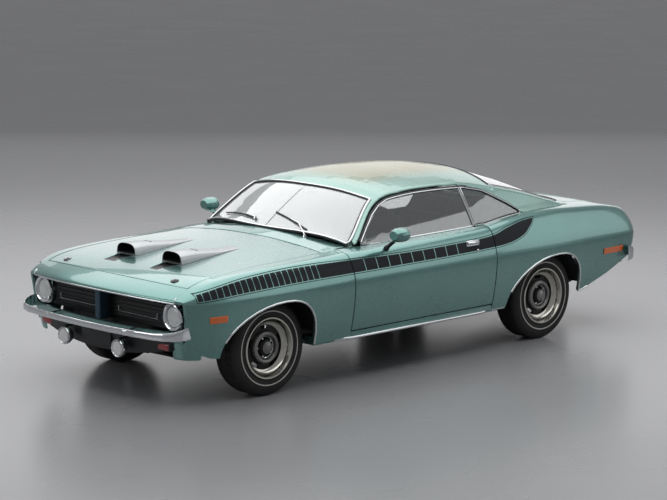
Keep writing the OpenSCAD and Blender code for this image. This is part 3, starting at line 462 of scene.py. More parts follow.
def new_group(name, inputs, outputs):
    """A shader group with named float inputs and typed outputs; returns its Tree and sockets."""
    group = bpy.data.node_groups.new(name, "ShaderNodeTree")
    for label, value in inputs.items():
        kind = "NodeSocketFloat" if isinstance(value, float) else "NodeSocketColor"
        socket = group.interface.new_socket(label, in_out="INPUT", socket_type=kind)
        socket.default_value = value
    for label, kind in outputs.items():
        group.interface.new_socket(label, in_out="OUTPUT", socket_type="NodeSocket" + kind)
    start = group.nodes.new("NodeGroupInput")
    end = group.nodes.new("NodeGroupOutput")
    return Tree(group), start.outputs, end.inputs


def material(name, color, metallic=0.0, roughness=0.5, **sockets):
    """A material with a Principled shader; returns (material, Tree, shader)."""
    mat = bpy.data.materials.new(name)
    mat.use_nodes = True
    t = Tree(mat.node_tree)
    shader = mat.node_tree.nodes["Principled BSDF"]
    shader.inputs["Base Color"].default_value = color
    shader.inputs["Metallic"].default_value = metallic
    shader.inputs["Roughness"].default_value = roughness
    for key, value in sockets.items():
        shader.inputs[key.replace("_", " ").title().replace("Ior", "IOR")].default_value = value
    return mat, t, shader


def build_grain_group():
    """Fine grain: a bump normal and a slow mask that varies over the surface."""
    t, given, out = new_group("fine_grain", {"Scale": 60.0, "Depth": 0.0005},
                              {"Normal": "Vector", "Mask": "Float"})
    fine = t.noise(given["Scale"], 3.0)
    t.put(t.bump(fine, 0.6, given["Depth"]), out["Normal"])
    t.put(t.noise(t.times(given["Scale"], 0.03), 3.0), out["Mask"])
    return t.tree


def build_flake_group():
    """Metallic paint: the colour with small bright flakes and a slow drift of tone."""
    t, given, out = new_group("paint_flake", {"Paint": (0.1, 0.3, 0.3, 1.0), "Flake": 0.12},
                              {"Color": "Color", "Roughness": "Float"})
    cells = t.add("ShaderNodeTexVoronoi", Scale=2200.0, Vector=t.place())
    sparkle = t.times(t.ramp(cells.outputs["Color"], 0.55, 1.0), given["Flake"])
    drift = t.ramp(t.noise(1.7, 2.0), 0.3, 0.7)
    deep = t.mix(t.times(drift, 0.16), given["Paint"], (0.03, 0.12, 0.11, 1.0))
    t.put(t.mix(sparkle, deep, (0.75, 0.95, 0.9, 1.0)), out["Color"])
    t.put(t.math("MULTIPLY_ADD", t.noise(6.0, 2.0), 0.05, 0.25), out["Roughness"])
    return t.tree


# Height of the side stripe's upper and lower line at stations along the car
STRIPE_TOP = [(-2.10, 0.770), (-1.813, 0.822), (-1.548, 0.846), (-1.124, 0.858), (-0.739, 0.853),
              (-0.287, 0.846), (0.30, 0.850), (0.666, 0.864), (0.873, 0.905), (1.075, 0.935),
              (1.19, 0.940)]
STRIPE_LOW = [(-2.10, 0.712), (-1.696, 0.734), (-1.281, 0.746), (-0.739, 0.750), (-0.311, 0.752),
              (0.30, 0.757), (0.604, 0.763), (0.80, 0.772), (0.95, 0.796), (1.10, 0.860),
              (1.19, 0.940)]
STRIPE_START, STRIPE_END = -2.10, 1.19
STRIPE_BASE, STRIPE_RISE = 0.60, 0.40
OUTLINE_WIDTH, OUTLINE_GAP, BAR_WIDTH = 0.0045, 0.011, 0.006
NEAR_PITCH, FAR_PITCH = 0.052, 0.114


def build_stripe_group():
    """Mask of the side stripe: solid blocks between bars, inside a thin outline."""
    t, _, out = new_group("side_stripe", {}, {"Mask": "Float"})
    _, y, z = t.xyz()
    length = STRIPE_END - STRIPE_START
    along = t.math("DIVIDE", t.minus(y, STRIPE_START), length)

    def line(stations):
        node = t.tree.nodes.new("ShaderNodeFloatCurve")
        curve = node.mapping.curves[0]
        scaled = [((s - STRIPE_START) / length, (h - STRIPE_BASE) / STRIPE_RISE)
                  for s, h in stations]
        curve.points[0].location = scaled[0]
        curve.points[1].location = scaled[-1]
        for point in scaled[1:-1]:
            curve.points.new(*point)
        node.mapping.update()
        t.put(along, node.inputs["Value"])
        return t.math("MULTIPLY_ADD", node.outputs[0], STRIPE_RISE, STRIPE_BASE)

    inside = t.math("MINIMUM", t.minus(line(STRIPE_TOP), z), t.minus(z, line(STRIPE_LOW)))
    inside = t.math("MINIMUM", inside, t.minus(y, STRIPE_START + 0.02))
    outline = t.times(t.math("GREATER_THAN", inside, 0.0),
                      t.math("LESS_THAN", inside, OUTLINE_WIDTH))
    core = t.math("GREATER_THAN", inside, OUTLINE_GAP)
    near = t.math("MODULO", t.math("ADD", y, 5.0), NEAR_PITCH)
    far = t.math("MODULO", t.math("ADD", y, 5.060), FAR_PITCH)
    bar_near = t.times(t.math("LESS_THAN", near, BAR_WIDTH), t.math("LESS_THAN", y, -1.02))
    on_door = t.times(t.math("GREATER_THAN", y, -0.70), t.math("LESS_THAN", y, 0.34))
    bar_far = t.times(t.math("LESS_THAN", far, BAR_WIDTH), on_door)
    solid = t.minus(core, t.math("MAXIMUM", bar_near, bar_far))
    t.put(t.math("MAXIMUM", t.math("MAXIMUM", solid, 0.0), outline), out["Mask"])
    return t.tree


grain = build_grain_group()
flake = build_flake_group()
stripe = build_stripe_group()

TEAL = rgb(108, 153, 147)
# A lighter copy of the teal for the roof and sail panels: a painted highlight standing in for the
# overhead light's reflection on the top.
PAINTED_HIGHLIGHT_TEAL = rgb(150, 184, 175)
OLIVE = rgb(150, 138, 96)


def paint_material(name, color, striped=False, tinted=False):
    """Flaked paint; striped adds the side stripe, tinted the roof's olive patch."""
    mat, t, shader = material(name, color, metallic=0.5 if tinted else 0.75,
                              coat_weight=0.45 if tinted else 1.0, coat_roughness=0.03)
    paint = t.group(flake, Paint=color, Flake=0.025)
    tone = paint["Color"]
    if tinted:
        x, y, _ = t.xyz()
        across = t.math("ABSOLUTE", x)
        patch = t.times(t.minus(1.0, t.ramp(across, 0.25, 0.52)),
                        t.times(t.ramp(y, -0.25, 0.05), t.minus(1.0, t.ramp(y, 0.75, 1.15))))
        patch = t.times(patch, t.math("MULTIPLY_ADD", t.noise(3.0), 0.5, 0.55))
        tone = t.mix(patch, tone, OLIVE)
    gloss = paint["Roughness"]
    if striped:
        mask = t.group(stripe)["Mask"]
        tone = t.mix(mask, tone, rgb(13, 18, 25))
        t.put(t.times(t.minus(1.0, mask), 0.75), shader.inputs["Metallic"])
        t.put(t.minus(1.0, t.times(mask, 0.92)), shader.inputs["Coat Weight"])
        gloss = t.math("MAXIMUM", gloss, t.times(mask, 0.92))
    t.put(tone, shader.inputs["Base Color"])
    t.put(gloss, shader.inputs["Roughness"])
    return mat


def grained(name, color, scale, depth, vary=0.25, darker=0.55, **settings):
    """A material whose tone and roughness drift and whose surface has a fine grain."""
    mat, t, shader = material(name, color, **settings)
    fine = t.group(grain, Scale=float(scale), Depth=depth)
    t.put(t.mix(t.ramp(fine["Mask"], 0.35, 0.7), color, shade(color, darker)),
          shader.inputs["Base Color"])
    rough = shader.inputs["Roughness"].default_value
    t.put(t.math("MULTIPLY_ADD", fine["Mask"], vary * rough, rough * (1 - vary / 2)),
          shader.inputs["Roughness"])
    t.put(fine["Normal"], shader.inputs["Normal"])
    return mat


def glass_material(name, color, roughness=0.0, transmission=1.0):
    mat, t, shader = material(name, color, roughness=roughness, transmission_weight=transmission,
                              ior=1.5, coat_weight=1.0, coat_ior=2.2, coat_roughness=0.0)
    smear = t.noise(5.0, 4.0)
    t.put(t.math("MULTIPLY_ADD", t.ramp(smear, 0.5, 0.8), 0.04, roughness),
          shader.inputs["Roughness"])
    return mat


def lens_material(name, color, pitch):
    """Moulded lamp lens with upright flutes."""
    mat, t, shader = material(name, color, roughness=0.08, coat_weight=1.0, coat_roughness=0.02,
                              transmission_weight=0.05)
    x, y, _ = t.xyz()
    wave = t.math("SINE", t.times(t.math("ADD", x, y), 2 * math.pi / pitch))
    t.put(t.bump(wave, 0.35, 0.0008), shader.inputs["Normal"])
    # The colour is darker in the flutes' troughs: painted shade.
    t.put(t.mix(t.ramp(wave, -1.0, 1.0), shade(color, 0.78), color), shader.inputs["Base Color"])
    return mat


def leather_material(name, color):
    mat, t, shader = material(name, color, roughness=0.5, sheen_weight=0.1)
    cells = t.add("ShaderNodeTexVoronoi", {"feature": "DISTANCE_TO_EDGE"}, Scale=260.0,
                  Vector=t.place())
    creases = t.ramp(cells.outputs[0], 0.0, 0.16)
    t.put(t.bump(creases, 0.5, 0.0008), shader.inputs["Normal"])
    # The crease lines are darkened to 55% of the colour: painted shade in the creases.
    t.put(t.mix(creases, shade(color, 0.55), color), shader.inputs["Base Color"])
    t.put(t.math("MULTIPLY_ADD", t.noise(9.0), 0.2, 0.38), shader.inputs["Roughness"])
    return mat


def brushed_material(name, color):
    """Metal with fine brush lines along the car."""
    mat, t, shader = material(name, color, metallic=1.0, roughness=0.3)
    mapping = t.add("ShaderNodeMapping", Vector=t.place(), Scale=(900, 6, 900))
    lines = t.noise(1.0, 2.0, mapping.outputs[0])
    t.put(t.bump(lines, 0.25, 0.0003), shader.inputs["Normal"])
    t.put(t.math("MULTIPLY_ADD", lines, 0.25, 0.2), shader.inputs["Roughness"])
    t.put(t.mix(t.ramp(lines, 0.35, 0.65), shade(color, 0.75), color),
          shader.inputs["Base Color"])
    return mat


side_paint = paint_material("side_paint", TEAL, striped=True)
body_paint = paint_material("teal_paint", TEAL)
# The roof's paint uses the lighter teal, a painted highlight on the top.
roof_paint = paint_material("roof_paint", PAINTED_HIGHLIGHT_TEAL, tinted=True)
chrome = grained("chrome", rgb(225, 228, 230), 30, 0.00002, 0.5, 0.93, metallic=1.0,
                 roughness=0.09)
satin_metal = brushed_material("scoop_metal", rgb(186, 190, 192))
rim_metal = grained("rim_metal", rgb(196, 194, 186), 40, 0.00005, 0.5, 0.85, metallic=1.0,
                    roughness=0.2)
wheel_black = grained("wheel_centre_paint", rgb(20, 21, 22), 60, 0.0002, metallic=0.3,
                      roughness=0.4)
hub_grey = grained("hub_grey", rgb(150, 150, 148), 60, 0.0002, metallic=0.85, roughness=0.32)
bar_blue = grained("centre_bar_paint", rgb(66, 92, 108), 60, 0.0001, metallic=0.5, roughness=0.32)
trim_black = grained("trim_black", rgb(24, 26, 28), 260, 0.0002, roughness=0.42)
rubber = grained("rubber", rgb(30, 30, 31), 190, 0.0005, roughness=0.72)
white_rubber = grained("white_rubber", rgb(206, 204, 196), 190, 0.0003, 0.25, 0.85, roughness=0.6)
chassis = grained("chassis_paint", rgb(36, 38, 40), 45, 0.0007, roughness=0.6)
iron = grained("engine_iron", rgb(70, 74, 76), 90, 0.0008, metallic=0.5, roughness=0.55)
pipe_steel = grained("pipe_steel", rgb(120, 118, 112), 30, 0.0004, metallic=0.9, roughness=0.4)
carpet = grained("carpet", rgb(32, 36, 38), 500, 0.003, roughness=0.95)
leather = leather_material("leather", rgb(40, 44, 47))
dash_skin = grained("dash_skin", rgb(30, 33, 35), 420, 0.0004, roughness=0.5)
lamp_glass = lens_material("lamp_glass", rgb(236, 238, 238), 0.007)
plate_white = grained("plate_blank", rgb(208, 208, 202), 40, 0.0001, 0.3, 0.9, roughness=0.4)
amber = lens_material("amber_lens", rgb(250, 118, 36), 0.012)
red = lens_material("red_lens", rgb(150, 20, 22), 0.012)
window_glass = glass_material("window_glass", rgb(196, 208, 208))
# Windshield and rear window glass lets only 62% through; the rest is a diffuse near-white, a
# painted reflection of the overhead light, beside the coat's real reflection.
screen_glass_painted_reflection = glass_material("screen_glass_painted_reflection", rgb(232, 236, 236), transmission=0.62)


# ---------------------------------------------------------------- body skins
def build_panels():
    """Fenders, quarter panels and doors with the side stripe, then the plain panels."""
    for node in ("fenders", "quarter_panels", "door_left", "door_right"):
        panel = skin(node, node + "_skin", side_paint, crease=True)
        if node.startswith("door"):
            side = SIDES[node[5:]]
            inner = abs(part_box(node)[0 if side > 0 else 1].x) + 0.004
            paint_faces(panel, leather, lambda c, n: abs(c.x) < inner and n.x * side < -0.7)
    for node in ("trunk_lid", "cowl", "nose_panel", "rear_deck", "tail_panel"):
        skin(node, node + "_skin", body_paint)


def build_mirrors():
    """Mirrors melted smooth, their heads made deeper and taller about the head's middle."""
    head_x, half_width, half_height, shell_height = 1.003, 0.068, 0.046, 0.054
    deeper, taller = 2.0, 1.10
    for node in ("mirror_left", "mirror_right"):
        shell = skin(node, node + "_shell", body_paint, bevel=0, levels=0)
        remelt(shell, 0.003, 5)
        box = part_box(node)
        middle = Vector((math.copysign(head_x, box[0].x + box[1].x),
                         (box[0].y + box[1].y) / 2, box[1].z - half_height))
        for point in shell.data.vertices:
            if (point.co.z > middle.z - half_height
                    and abs(point.co.x - middle.x) < half_width):
                point.co.y = middle.y + (point.co.y - middle.y) * deeper
                point.co.z = middle.z + (point.co.z - middle.z) * taller
        paint_faces(shell, chrome, lambda c, n: n.y > 0.9)
        paint_faces(shell, trim_black, lambda c, n: c.z < middle.z - shell_height)


def build_bumpers():
    """Bumpers melted smooth and slimmed, with their ends reshaped."""
    for node in ("front_bumper", "rear_bumper"):
        bumper = skin(node, node + "_blade", chrome, bevel=0, levels=0, angle=40)
        remelt(bumper, 0.005, 5)
        on_all(bumper, bpy.ops.transform.shrink_fatten, "VERT", value=-0.004)
        if node == "front_bumper":
            reshape_front_bumper(bumper.data.vertices)
        else:
            reshape_rear_bumper(bumper.data.vertices)


def reshape_front_bumper(points):
    """Set back and slimmer at the middle; narrower, taller and raised towards the ends."""
    end_depth, blade_z = 0.286, 0.500
    for point in points:
        back = share(point.co.y + HALF_LENGTH, end_depth)
        point.co.x *= 0.985 - 0.045 * back
        point.co.y += 0.020 * (1 - back)
        point.co.z = blade_z + (point.co.z - blade_z) * (0.76 + 0.42 * back) + 0.010 * back


def reshape_rear_bumper(points):
    """Ends drawn forward and made taller."""
    end_depth, end_x, blade_z, draw, taller = 0.110, 0.75, 0.548, 0.075, 0.55
    for point in points:
        back = share(HALF_LENGTH - point.co.y, end_depth)
        if abs(point.co.x) > end_x:
            point.co.y -= draw * back
            point.co.z += (point.co.z - blade_z) * taller * back


def build_scoops():
    """Hood scoops, wider and higher towards their mouths, painted black inside the mouths as
    painted shade.
    """
    length, wider, higher, painted_shade_depth = 0.5, 0.38, 0.06, 0.195
    scoops = skin("hood_scoops", "hood_scoop_shells", satin_metal, bevel=0.0015)
    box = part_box("hood_scoops")
    for point in scoops.data.vertices:
        x, y, z = point.co
        ahead = share(box[1].y - y, length)
        point.co.x += (abs(x) - SCOOP_X) * math.copysign(wider, x) * ahead
        point.co.z += max(0.0, z - above("hood", x, y).z) * higher * ahead

    def inner_wall(c, n):
        axis = Vector((math.copysign(SCOOP_X, c.x), c.y, above("hood", SCOOP_X, c.y).z + 0.02))
        return n.dot(c - axis) < 0 and c.y < box[0].y + painted_shade_depth
    # Inner walls near the mouth are painted black: painted shade inside the opening.
    paint_faces(scoops, trim_black, inner_wall)


def build_body():
    build_panels()
    build_hood()
    build_mirrors()
    build_roof()
    skin("rockers", "rocker_skins", body_paint, levels=0)
    build_bumpers()
    skin("front_valance", "front_valance_skin", trim_black)
    skin("grille", "grille_black", trim_black, bevel=0.001, levels=0)
    build_scoops()


def build_roof():
    """Roof, pillars and sail panels as one shell that runs down into the quarter panels."""
    sail_front, sail_inner, sail_top, panel_x = 0.95, 0.55, 1.02, 0.79
    reach, sink, spread = 0.045, 0.035, 0.030
    roof = joined("roof_shell", [node_copy("roof"), node_copy("sail_panels")])
    remelt(roof, 0.008, 7)
    for point in roof.data.vertices:
        x, y, z = point.co
        if y > sail_front and abs(x) > sail_inner and z < sail_top:
            ground = above("quarter_panels", math.copysign(panel_x, x), y).z
            pull = share(ground + reach - z, reach)
            point.co.z -= sink * pull
            point.co.x += math.copysign(spread * pull, x)
    roof.data.materials.clear()
    # Roof and sail panels take the lighter teal, a painted highlight.
    roof.data.materials.append(roof_paint)
    paint_faces(roof, leather, lambda c, n: n.z < -0.5 and abs(c.x) < 0.62 and c.z > 1.0)
    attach(roof, "body")
    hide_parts("roof", "sail_panels")


def build_hood():
    """Hood skin with a ramp sunk in front of each scoop's mouth, the ramp painted black as painted
    shade.
    """
    hood = skin("hood", "hood_skin", body_paint)
    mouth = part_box("hood_scoops")[0].y
    front, rear, wide, deep = mouth - 0.170, mouth + 0.020, 0.066, 0.017
    for side in SIDES.values():
        x = side * SCOOP_X
        low, high = above("hood", x, front).z, above("hood", x, rear).z
        cutter = new_primitive(bpy.ops.mesh.primitive_cube_add, size=1,
                               location=(x, (front + rear) / 2, high + 0.03))
        cutter.scale = (2 * wide, rear - front, 0.1)
        bpy.ops.object.transform_apply(location=True, rotation=True, scale=True)
        for point in cutter.data.vertices:
            if point.co.z < high:
                ahead = point.co.y < mouth - 0.1
                point.co.z = low - 0.001 if ahead else high - deep
                point.co.x = x + (point.co.x - x) * (0.62 if ahead else 1.0)
        modify(cutter, "BEVEL", width=0.012, segments=3, limit_method="ANGLE")
        modify(hood, "BOOLEAN", object=cutter, operation="DIFFERENCE", solver="EXACT")
        bpy.data.objects.remove(cutter)

    def sunk(c, n):
        near = abs(abs(c.x) - SCOOP_X) < wide + 0.001 and front - 0.005 < c.y < rear + 0.005
        return near and n.z > -0.3 and c.z < above("hood", c.x, c.y).z - 0.0005
    # The sunk ramp's faces are painted black: painted shade in the recess.
    paint_faces(hood, trim_black, sunk)
    paint_faces(hood, chassis, lambda c, n: n.z < -0.6)
    smooth(hood, 32)


def build_glass():
    # The windshield and rear window get the near-white glass, a painted reflection.
    panes = {"windshield": screen_glass_painted_reflection, "rear_window": screen_glass_painted_reflection,
             "quarter_glass": window_glass, "door_glass_left": window_glass,
             "door_glass_right": window_glass}
    for node, glass in panes.items():
        skin(node, node + "_pane", glass, bevel=0, levels=0, angle=45)


def build_running_gear():
    finishes = {"floor_pan": carpet, "frame": chassis, "wheel_houses": chassis,
                "suspension": chassis, "rear_axle": chassis, "fuel_tank": pipe_steel,
                "engine": iron, "exhaust": pipe_steel, "knuckle_left": iron,
                "knuckle_right": iron, "plate_bracket": trim_black, "dashboard": dash_skin,
                "steering_wheel": dash_skin}
    unrounded = ("rear_axle", "exhaust", "knuckle_left", "knuckle_right")
    for node, mat in finishes.items():
        piece = skin(node, node + "_finished", mat, bevel=0 if node in unrounded else 0.002,
                     levels=0, angle=30)
        if node == "floor_pan":
            paint_faces(piece, chassis, lambda c, n: n.z < -0.5)
        elif node == "frame":
            shorten_rails(piece.data.vertices)


def shorten_rails(points):
    """Draws the lower edge of the rails' front ends back, out of the front bumper's gap."""
    rail_height, draw = 0.06, 0.24
    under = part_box("frame")[0].z + rail_height
    rail_end = min(p.co.y for p in points if p.co.z < under)
    for point in points:
        if point.co.y < rail_end + 0.01 and point.co.z < under:
            point.co.y += draw


def build_mouldings():
    arches = []
    for node, wheel in (("fenders", "wheel_front_left"), ("quarter_panels", "wheel_rear_left")):
        centre = WHEELS[wheel]
        arches.append(border(node, 0.008, wanted=lambda p: abs(p.x) > 0.6 and 0.318 < p.z < 0.66
                             and abs(p.y - centre.y - 0.02) < 0.445))
    bright("arch_mouldings", arches)
    build_window_mouldings()
    mouth_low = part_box("grille")[1].z - 0.03
    lip = border("nose_panel", 0.0055, AHEAD, lambda p: p.z > mouth_low and abs(p.x) < 0.79)
    bright("mouth_moulding", [lip])
    sills = []
    for side in SIDES.values():
        line = []
        for k in range(13):
            y = DOOR_FRONT - 0.14 + k * (DOOR_REAR - DOOR_FRONT + 0.30) / 12
            point = beside("rockers", side, y, 0.300)
            line.append((point.x + side * 0.003, y, 0.304))
        sills.append(rod(line, 0.011))
    bright("sill_mouldings", sills)


def build_window_mouldings():
    """Dark seals and bright mouldings round the glass, and the belt line on each door."""
    up, rear_up = (0, -0.35, 0.94), (0, 0.35, 0.94)
    dark("windshield_seal", [border("windshield", 0.012, up)])
    screen = border("windshield", 0.008, up, shift=0.010)
    for point in screen.data.vertices:
        point.co.z += 0.006
    bright("windshield_moulding", [screen])
    dark("rear_window_seal", [border("rear_window", 0.009, rear_up)])
    bright("rear_window_moulding", [border("rear_window", 0.004, rear_up, shift=0.006)])
    belt_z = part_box("door_left")[1].z

    def upper(p):
        return p.z > belt_z + 0.004 and p.y < 0.60

    tops = [border("door_glass_" + name, 0.013, wanted=upper) for name in SIDES]
    dark("window_seals", [border("quarter_glass", 0.011), *tops])
    drips = [border("quarter_glass", 0.0045, shift=0.010)]
    drips += [border("door_glass_" + name, 0.0045, wanted=upper, shift=0.012) for name in SIDES]
    bright("window_mouldings", drips)
    for name, side in SIDES.items():
        line = []
        for k in range(15):
            y = -0.52 + k * 1.11 / 14
            face = beside("door_glass_" + name, side, y, belt_z + 0.012)
            if face is not None:
                door_top = above("door_" + name, face.x + side * 0.012, y)
                line.append((face.x + side * 0.008, y, door_top.z + 0.003))
        belt = rod(line, 0.0055)
        divider = border("door_glass_" + name, 0.008, wanted=lambda p: p.y > 0.59, shift=0.003)
        bright("belt_moulding_" + name, [belt, divider], "door_" + name)


def build_front_trim():
    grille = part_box("grille")
    plate = grille[1].y - 0.0245
    bar = block((-0.025, grille[0].y - 0.004, 0.512), (0.025, plate, 0.714), 0.008)
    made("mouth_centre_bar", [bar], bar_blue)
    y, z, hook, inner, outer = plate - 0.006, 0.572, 0.035, 0.115, 0.520
    lines = [rod([(side * inner, y, z + hook), (side * inner, y, z), (side * outer, y, z),
                  (side * outer, y, z + hook)], 0.0025) for side in SIDES.values()]
    bright("mouth_bright_lines", lines)
    front = in_front("front_valance", 0, 0.40).y
    dark("front_plate_blank",
         [block((-0.155, front - 0.014, 0.345), (0.155, front + 0.012, 0.440), 0.006)])
    lamps, rims = [], []
    for side in SIDES.values():
        point = in_front("front_valance", side * 0.625, 0.405)
        lamps.append(block(point + Vector((-0.055, -0.012, -0.022)),
                           point + Vector((0.055, 0.030, 0.022)), 0.010))
        rims.append(block(point + Vector((-0.062, -0.006, -0.028)),
                          point + Vector((0.062, 0.026, 0.028)), 0.010))
    made("turn_lamp_lenses", lamps, red)
    dark("turn_lamp_rims", rims)
    corners = [lower_corner(side) for side in SIDES.values()]
    made("lower_fender_corners", corners, body_paint)
    build_hood_pins()


def lower_corner(side):
    """The curved sheet between the valance's end and the fender's lower edge."""
    valance_x, top_z = 0.690, 0.446
    end = in_front("front_valance", side * valance_x, 0.425)
    wing = beside("fenders", side, LOWER_FRONT, 0.425)
    across, ahead = abs(wing.x) - 0.006 - valance_x, end.y + 0.004 - LOWER_FRONT
    sheet = wire([(side * (valance_x + across * math.sin(a)),
                   LOWER_FRONT + ahead * math.cos(a), top_z)
                  for a in [k * math.pi / 16 for k in range(9)]])
    edit_mode("EDGE")
    bpy.ops.mesh.select_all(action="SELECT")
    for _ in range(4):
        bpy.ops.mesh.extrude_region_move(TRANSFORM_OT_translate={
            "value": (-side * 0.004, 0.005, -0.030)})
    object_mode()
    outward_from(sheet, side)
    modify(sheet, "SOLIDIFY", thickness=0.004, offset=-1)
    modify(sheet, "SUBSURF", levels=1, render_levels=1)
    smooth(sheet, 40)
    return sheet


def build_hood_pins():
    tilt = (0, -0.18, 1)
    plates, pins = [], []
    for side in SIDES.values():
        spot = above("hood", side * 0.575, -2.02)
        plates.append(turned([(0.0, 0.003), (0.024, 0.0028), (0.030, 0.0005), (0.030, -0.002),
                              (0.0, -0.002)], spot, tilt, 40))
        pins.append(turned([(0.0, 0.017), (0.005, 0.016), (0.007, 0.012), (0.007, 0.002),
                            (0.0, 0.002)], spot, tilt, 24))
        clip = [spot + Vector((0.018 * math.cos(a), 0.018 * math.sin(a),
                               0.010 + 0.003 * math.sin(a)))
                for a in [k * math.pi / 8 for k in range(15)]]
        pins.append(rod([tuple(p) for p in clip], 0.0018))
    dark("hood_pin_plates", plates, "hood")
    bright("hood_pins", pins, "hood")


def build_glass_trim():
    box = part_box("windshield")
    # A dark rod just under the windshield, down its middle: a painted reflection, standing in for
    # the dark line down the glass.
    line = []
    for k in range(9):
        y = box[0].y + 0.012 + k * (box[1].y - 0.060 - box[0].y) / 8
        line.append(tuple(above("windshield", 0.0, y) - Vector((0, 0, 0.008))))
    dark("windshield_reflection_bar", [rod(line, 0.008)])
    arms, blades = [], []
    for pivot in (0.42, -0.12):
        path = []
        for k in range(9):
            t = k / 8
            point = above("windshield", pivot - 0.02 - 0.40 * t, box[0].y + 0.045 + 0.075 * t)
            path.append(point + Vector((0, 0, 0.010)))
        foot = above("cowl", pivot, box[0].y + 0.005) or path[0]
        blades.append(rod([tuple(p) for p in path], 0.005))
        arms.append(rod([tuple(foot + Vector((0, 0, 0.012))),
                         tuple(path[2] + Vector((0, -0.004, 0.012))),
                         tuple(path[4] + Vector((0, -0.002, 0.008)))], 0.005))
        arms.append(turned([(0.0, 0.018), (0.012, 0.016), (0.016, 0.0), (0.0, 0.0)], foot,
                           steps=24))
    made("wiper_blades", blades, rubber)
    bright("wiper_arms", arms)


def build_handles():
    for name, side in SIDES.items():
        point = beside("door_" + name, side, 0.466, 0.825)
        well = block(point + Vector((-0.006, -0.066, -0.023)),
                     point + Vector((0.006, 0.066, 0.023)), 0.006)
        grip = rod([(point.x + side * out, y, z) for out, y, z in (
            (0.008, 0.412, 0.830), (0.017, 0.424, 0.831), (0.019, 0.466, 0.832),
            (0.017, 0.508, 0.831), (0.008, 0.520, 0.830))], 0.009)
        lock = turned([(0.0, 0.004), (0.009, 0.0035), (0.012, 0.0), (0.0, -0.002)],
                      beside("door_" + name, side, 0.505, 0.770), (side, 0, 0), 32)
        bright("door_handle_" + name, [grip, lock, well], "door_" + name)


def build_rear_trim():
    bright("tail_lamp_rims", [border("tail_lamps", 0.006, ASTERN)])
    low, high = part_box("tail_lamps")
    z0, z1 = low.z + 0.004, high.z - 0.004
    bars = []
    for side in SIDES.values():
        for k in (1, 2):
            x = side * (high.x - k * (high.x - 0.33) / 3)
            y = hit("tail_lamps", (x, 4, (z0 + z1) / 2), AHEAD).y
            bars.append(block((x - 0.004, y - 0.012, z0), (x + 0.004, y + 0.003, z1), 0.002))
    dark("tail_lamp_bars", bars)
    low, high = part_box("plate_bracket")
    face, z, tall, inset = high.y + 0.003, low.z, 0.152, 0.008
    plate = block((low.x, high.y, z), (high.x, face, z + tall), 0.001)
    x0, x1, z0, z1 = low.x + inset, high.x - inset, z + inset, z + tall - inset
    rim = rod([(x0, face, z0), (x1, face, z0), (x1, face, z1), (x0, face, z1), (x0, face, z0)],
              0.002)
    made("rear_plate_blank", [plate, rim], plate_white)
    tips = [turned([(0.030, -0.10), (0.034, -0.10), (0.036, -0.002), (0.033, 0.0),
                    (0.030, -0.006), (0.028, -0.09), (0.030, -0.10)],
                   (side * 0.235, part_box("exhaust")[1].y, 0.226), ASTERN, 40)
            for side in SIDES.values()]
    bright("exhaust_tips", tips)


# ---------------------------------------------------------------- cabin
def swell(obj, voxel, cap):
    modify(obj, "REMESH", mode="VOXEL", voxel_size=voxel)
    before = [point.co.copy() for point in obj.data.vertices]
    only(obj)
    cloth = obj.modifiers.new("cloth", "CLOTH")
    cloth.settings.quality = 4
    cloth.settings.use_pressure = True
    cloth.settings.uniform_pressure_force = 4
    cloth.settings.effector_weights.gravity = 0
    cloth.collision_settings.use_collision = False
    for step in range(1, 21):
        bpy.context.scene.frame_set(step)
    bpy.ops.object.modifier_apply(modifier=cloth.name)
    bpy.context.scene.frame_set(1)
    for point, start in zip(obj.data.vertices, before):
        move = point.co - start
        if move.length > cap:
            point.co = start + move * (cap / move.length)


def pad(name, low, high, lean, channels, voxel):
    """A leather pad: a rounded block, swollen, sewn into channels and leaned back."""
    obj = block(low, high, 0.030, 4)
    swell(obj, voxel, 0.022)
    upright = lean != 0
    axis = 2 if upright else 1
    sewn = [low[0] + (high[0] - low[0]) * k / (channels + 1) for k in range(1, channels + 1)]
    before = [(point.co.copy(), point.normal.copy()) for point in obj.data.vertices]
    for point, (start, normal) in zip(obj.data.vertices, before):
        if (-normal.y if upright else normal.z) < 0.35:
            continue
        nearest = min(abs(start.x - line) for line in sewn)
        along = (start[axis] - low[axis]) / (high[axis] - low[axis])
        if 0.10 < along < 0.90:
            point.co -= normal * 0.007 * math.exp(-(nearest / 0.009) ** 2)
        rim = min(abs(along - 0.10), abs(along - 0.90))
        if low[0] < start.x < high[0]:
            point.co -= normal * 0.005 * math.exp(-(rim * 0.5 / 0.010) ** 2)
    for point in obj.data.vertices:
        point.co.y += lean * (point.co.z - low[2])
    modify(obj, "SUBSURF", levels=1, render_levels=1)
    smooth(obj, 80)
    obj.name = name
    obj.data.materials.clear()
    obj.data.materials.append(leather)
    return obj


def build_seats():
    fill, fine, coarse = 0.8, 0.008, 0.010
    cushion = pad("driver_cushion", (0.165, -0.105, 0.378), (0.595, 0.300, 0.492), 0, 5, fine)
    backrest = pad("driver_backrest", (0.165, 0.300, 0.500), (0.595, 0.362, 1.020), 0.36, 5,
                   fine)
    rears = [pad("rear_cushion", (-0.545, 0.762, 0.508), (0.545, 1.040, 0.584), 0, 11, coarse),
             pad("rear_backrest", (-0.545, 1.058, 0.600), (0.545, 1.118, 1.045), 0.33, 11,
                 coarse)]
    fronts = [cushion, backrest, clone(cushion, "passenger_cushion", MIRROR),
              clone(backrest, "passenger_backrest", MIRROR)]
    frames = []
    for side in SIDES.values():
        x0, x1 = sorted((side * 0.20, side * 0.56))
        frames.append(block((x0, -0.085, 0.276), (x1, 0.325, 0.362), 0.008))
        for x in (side * 0.150, side * 0.610):
            frames.append(rod([(x, 0.26, 0.40), (x, 0.33, 0.50), (x, 0.42, 0.70)], 0.010))
    for node, pads in (("front_seats", fronts), ("rear_seat", rears)):
        for obj in pads:
            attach(obj, "body")
            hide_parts(node)
    made("seat_frames", frames, trim_black, stands_for=("front_seats",))


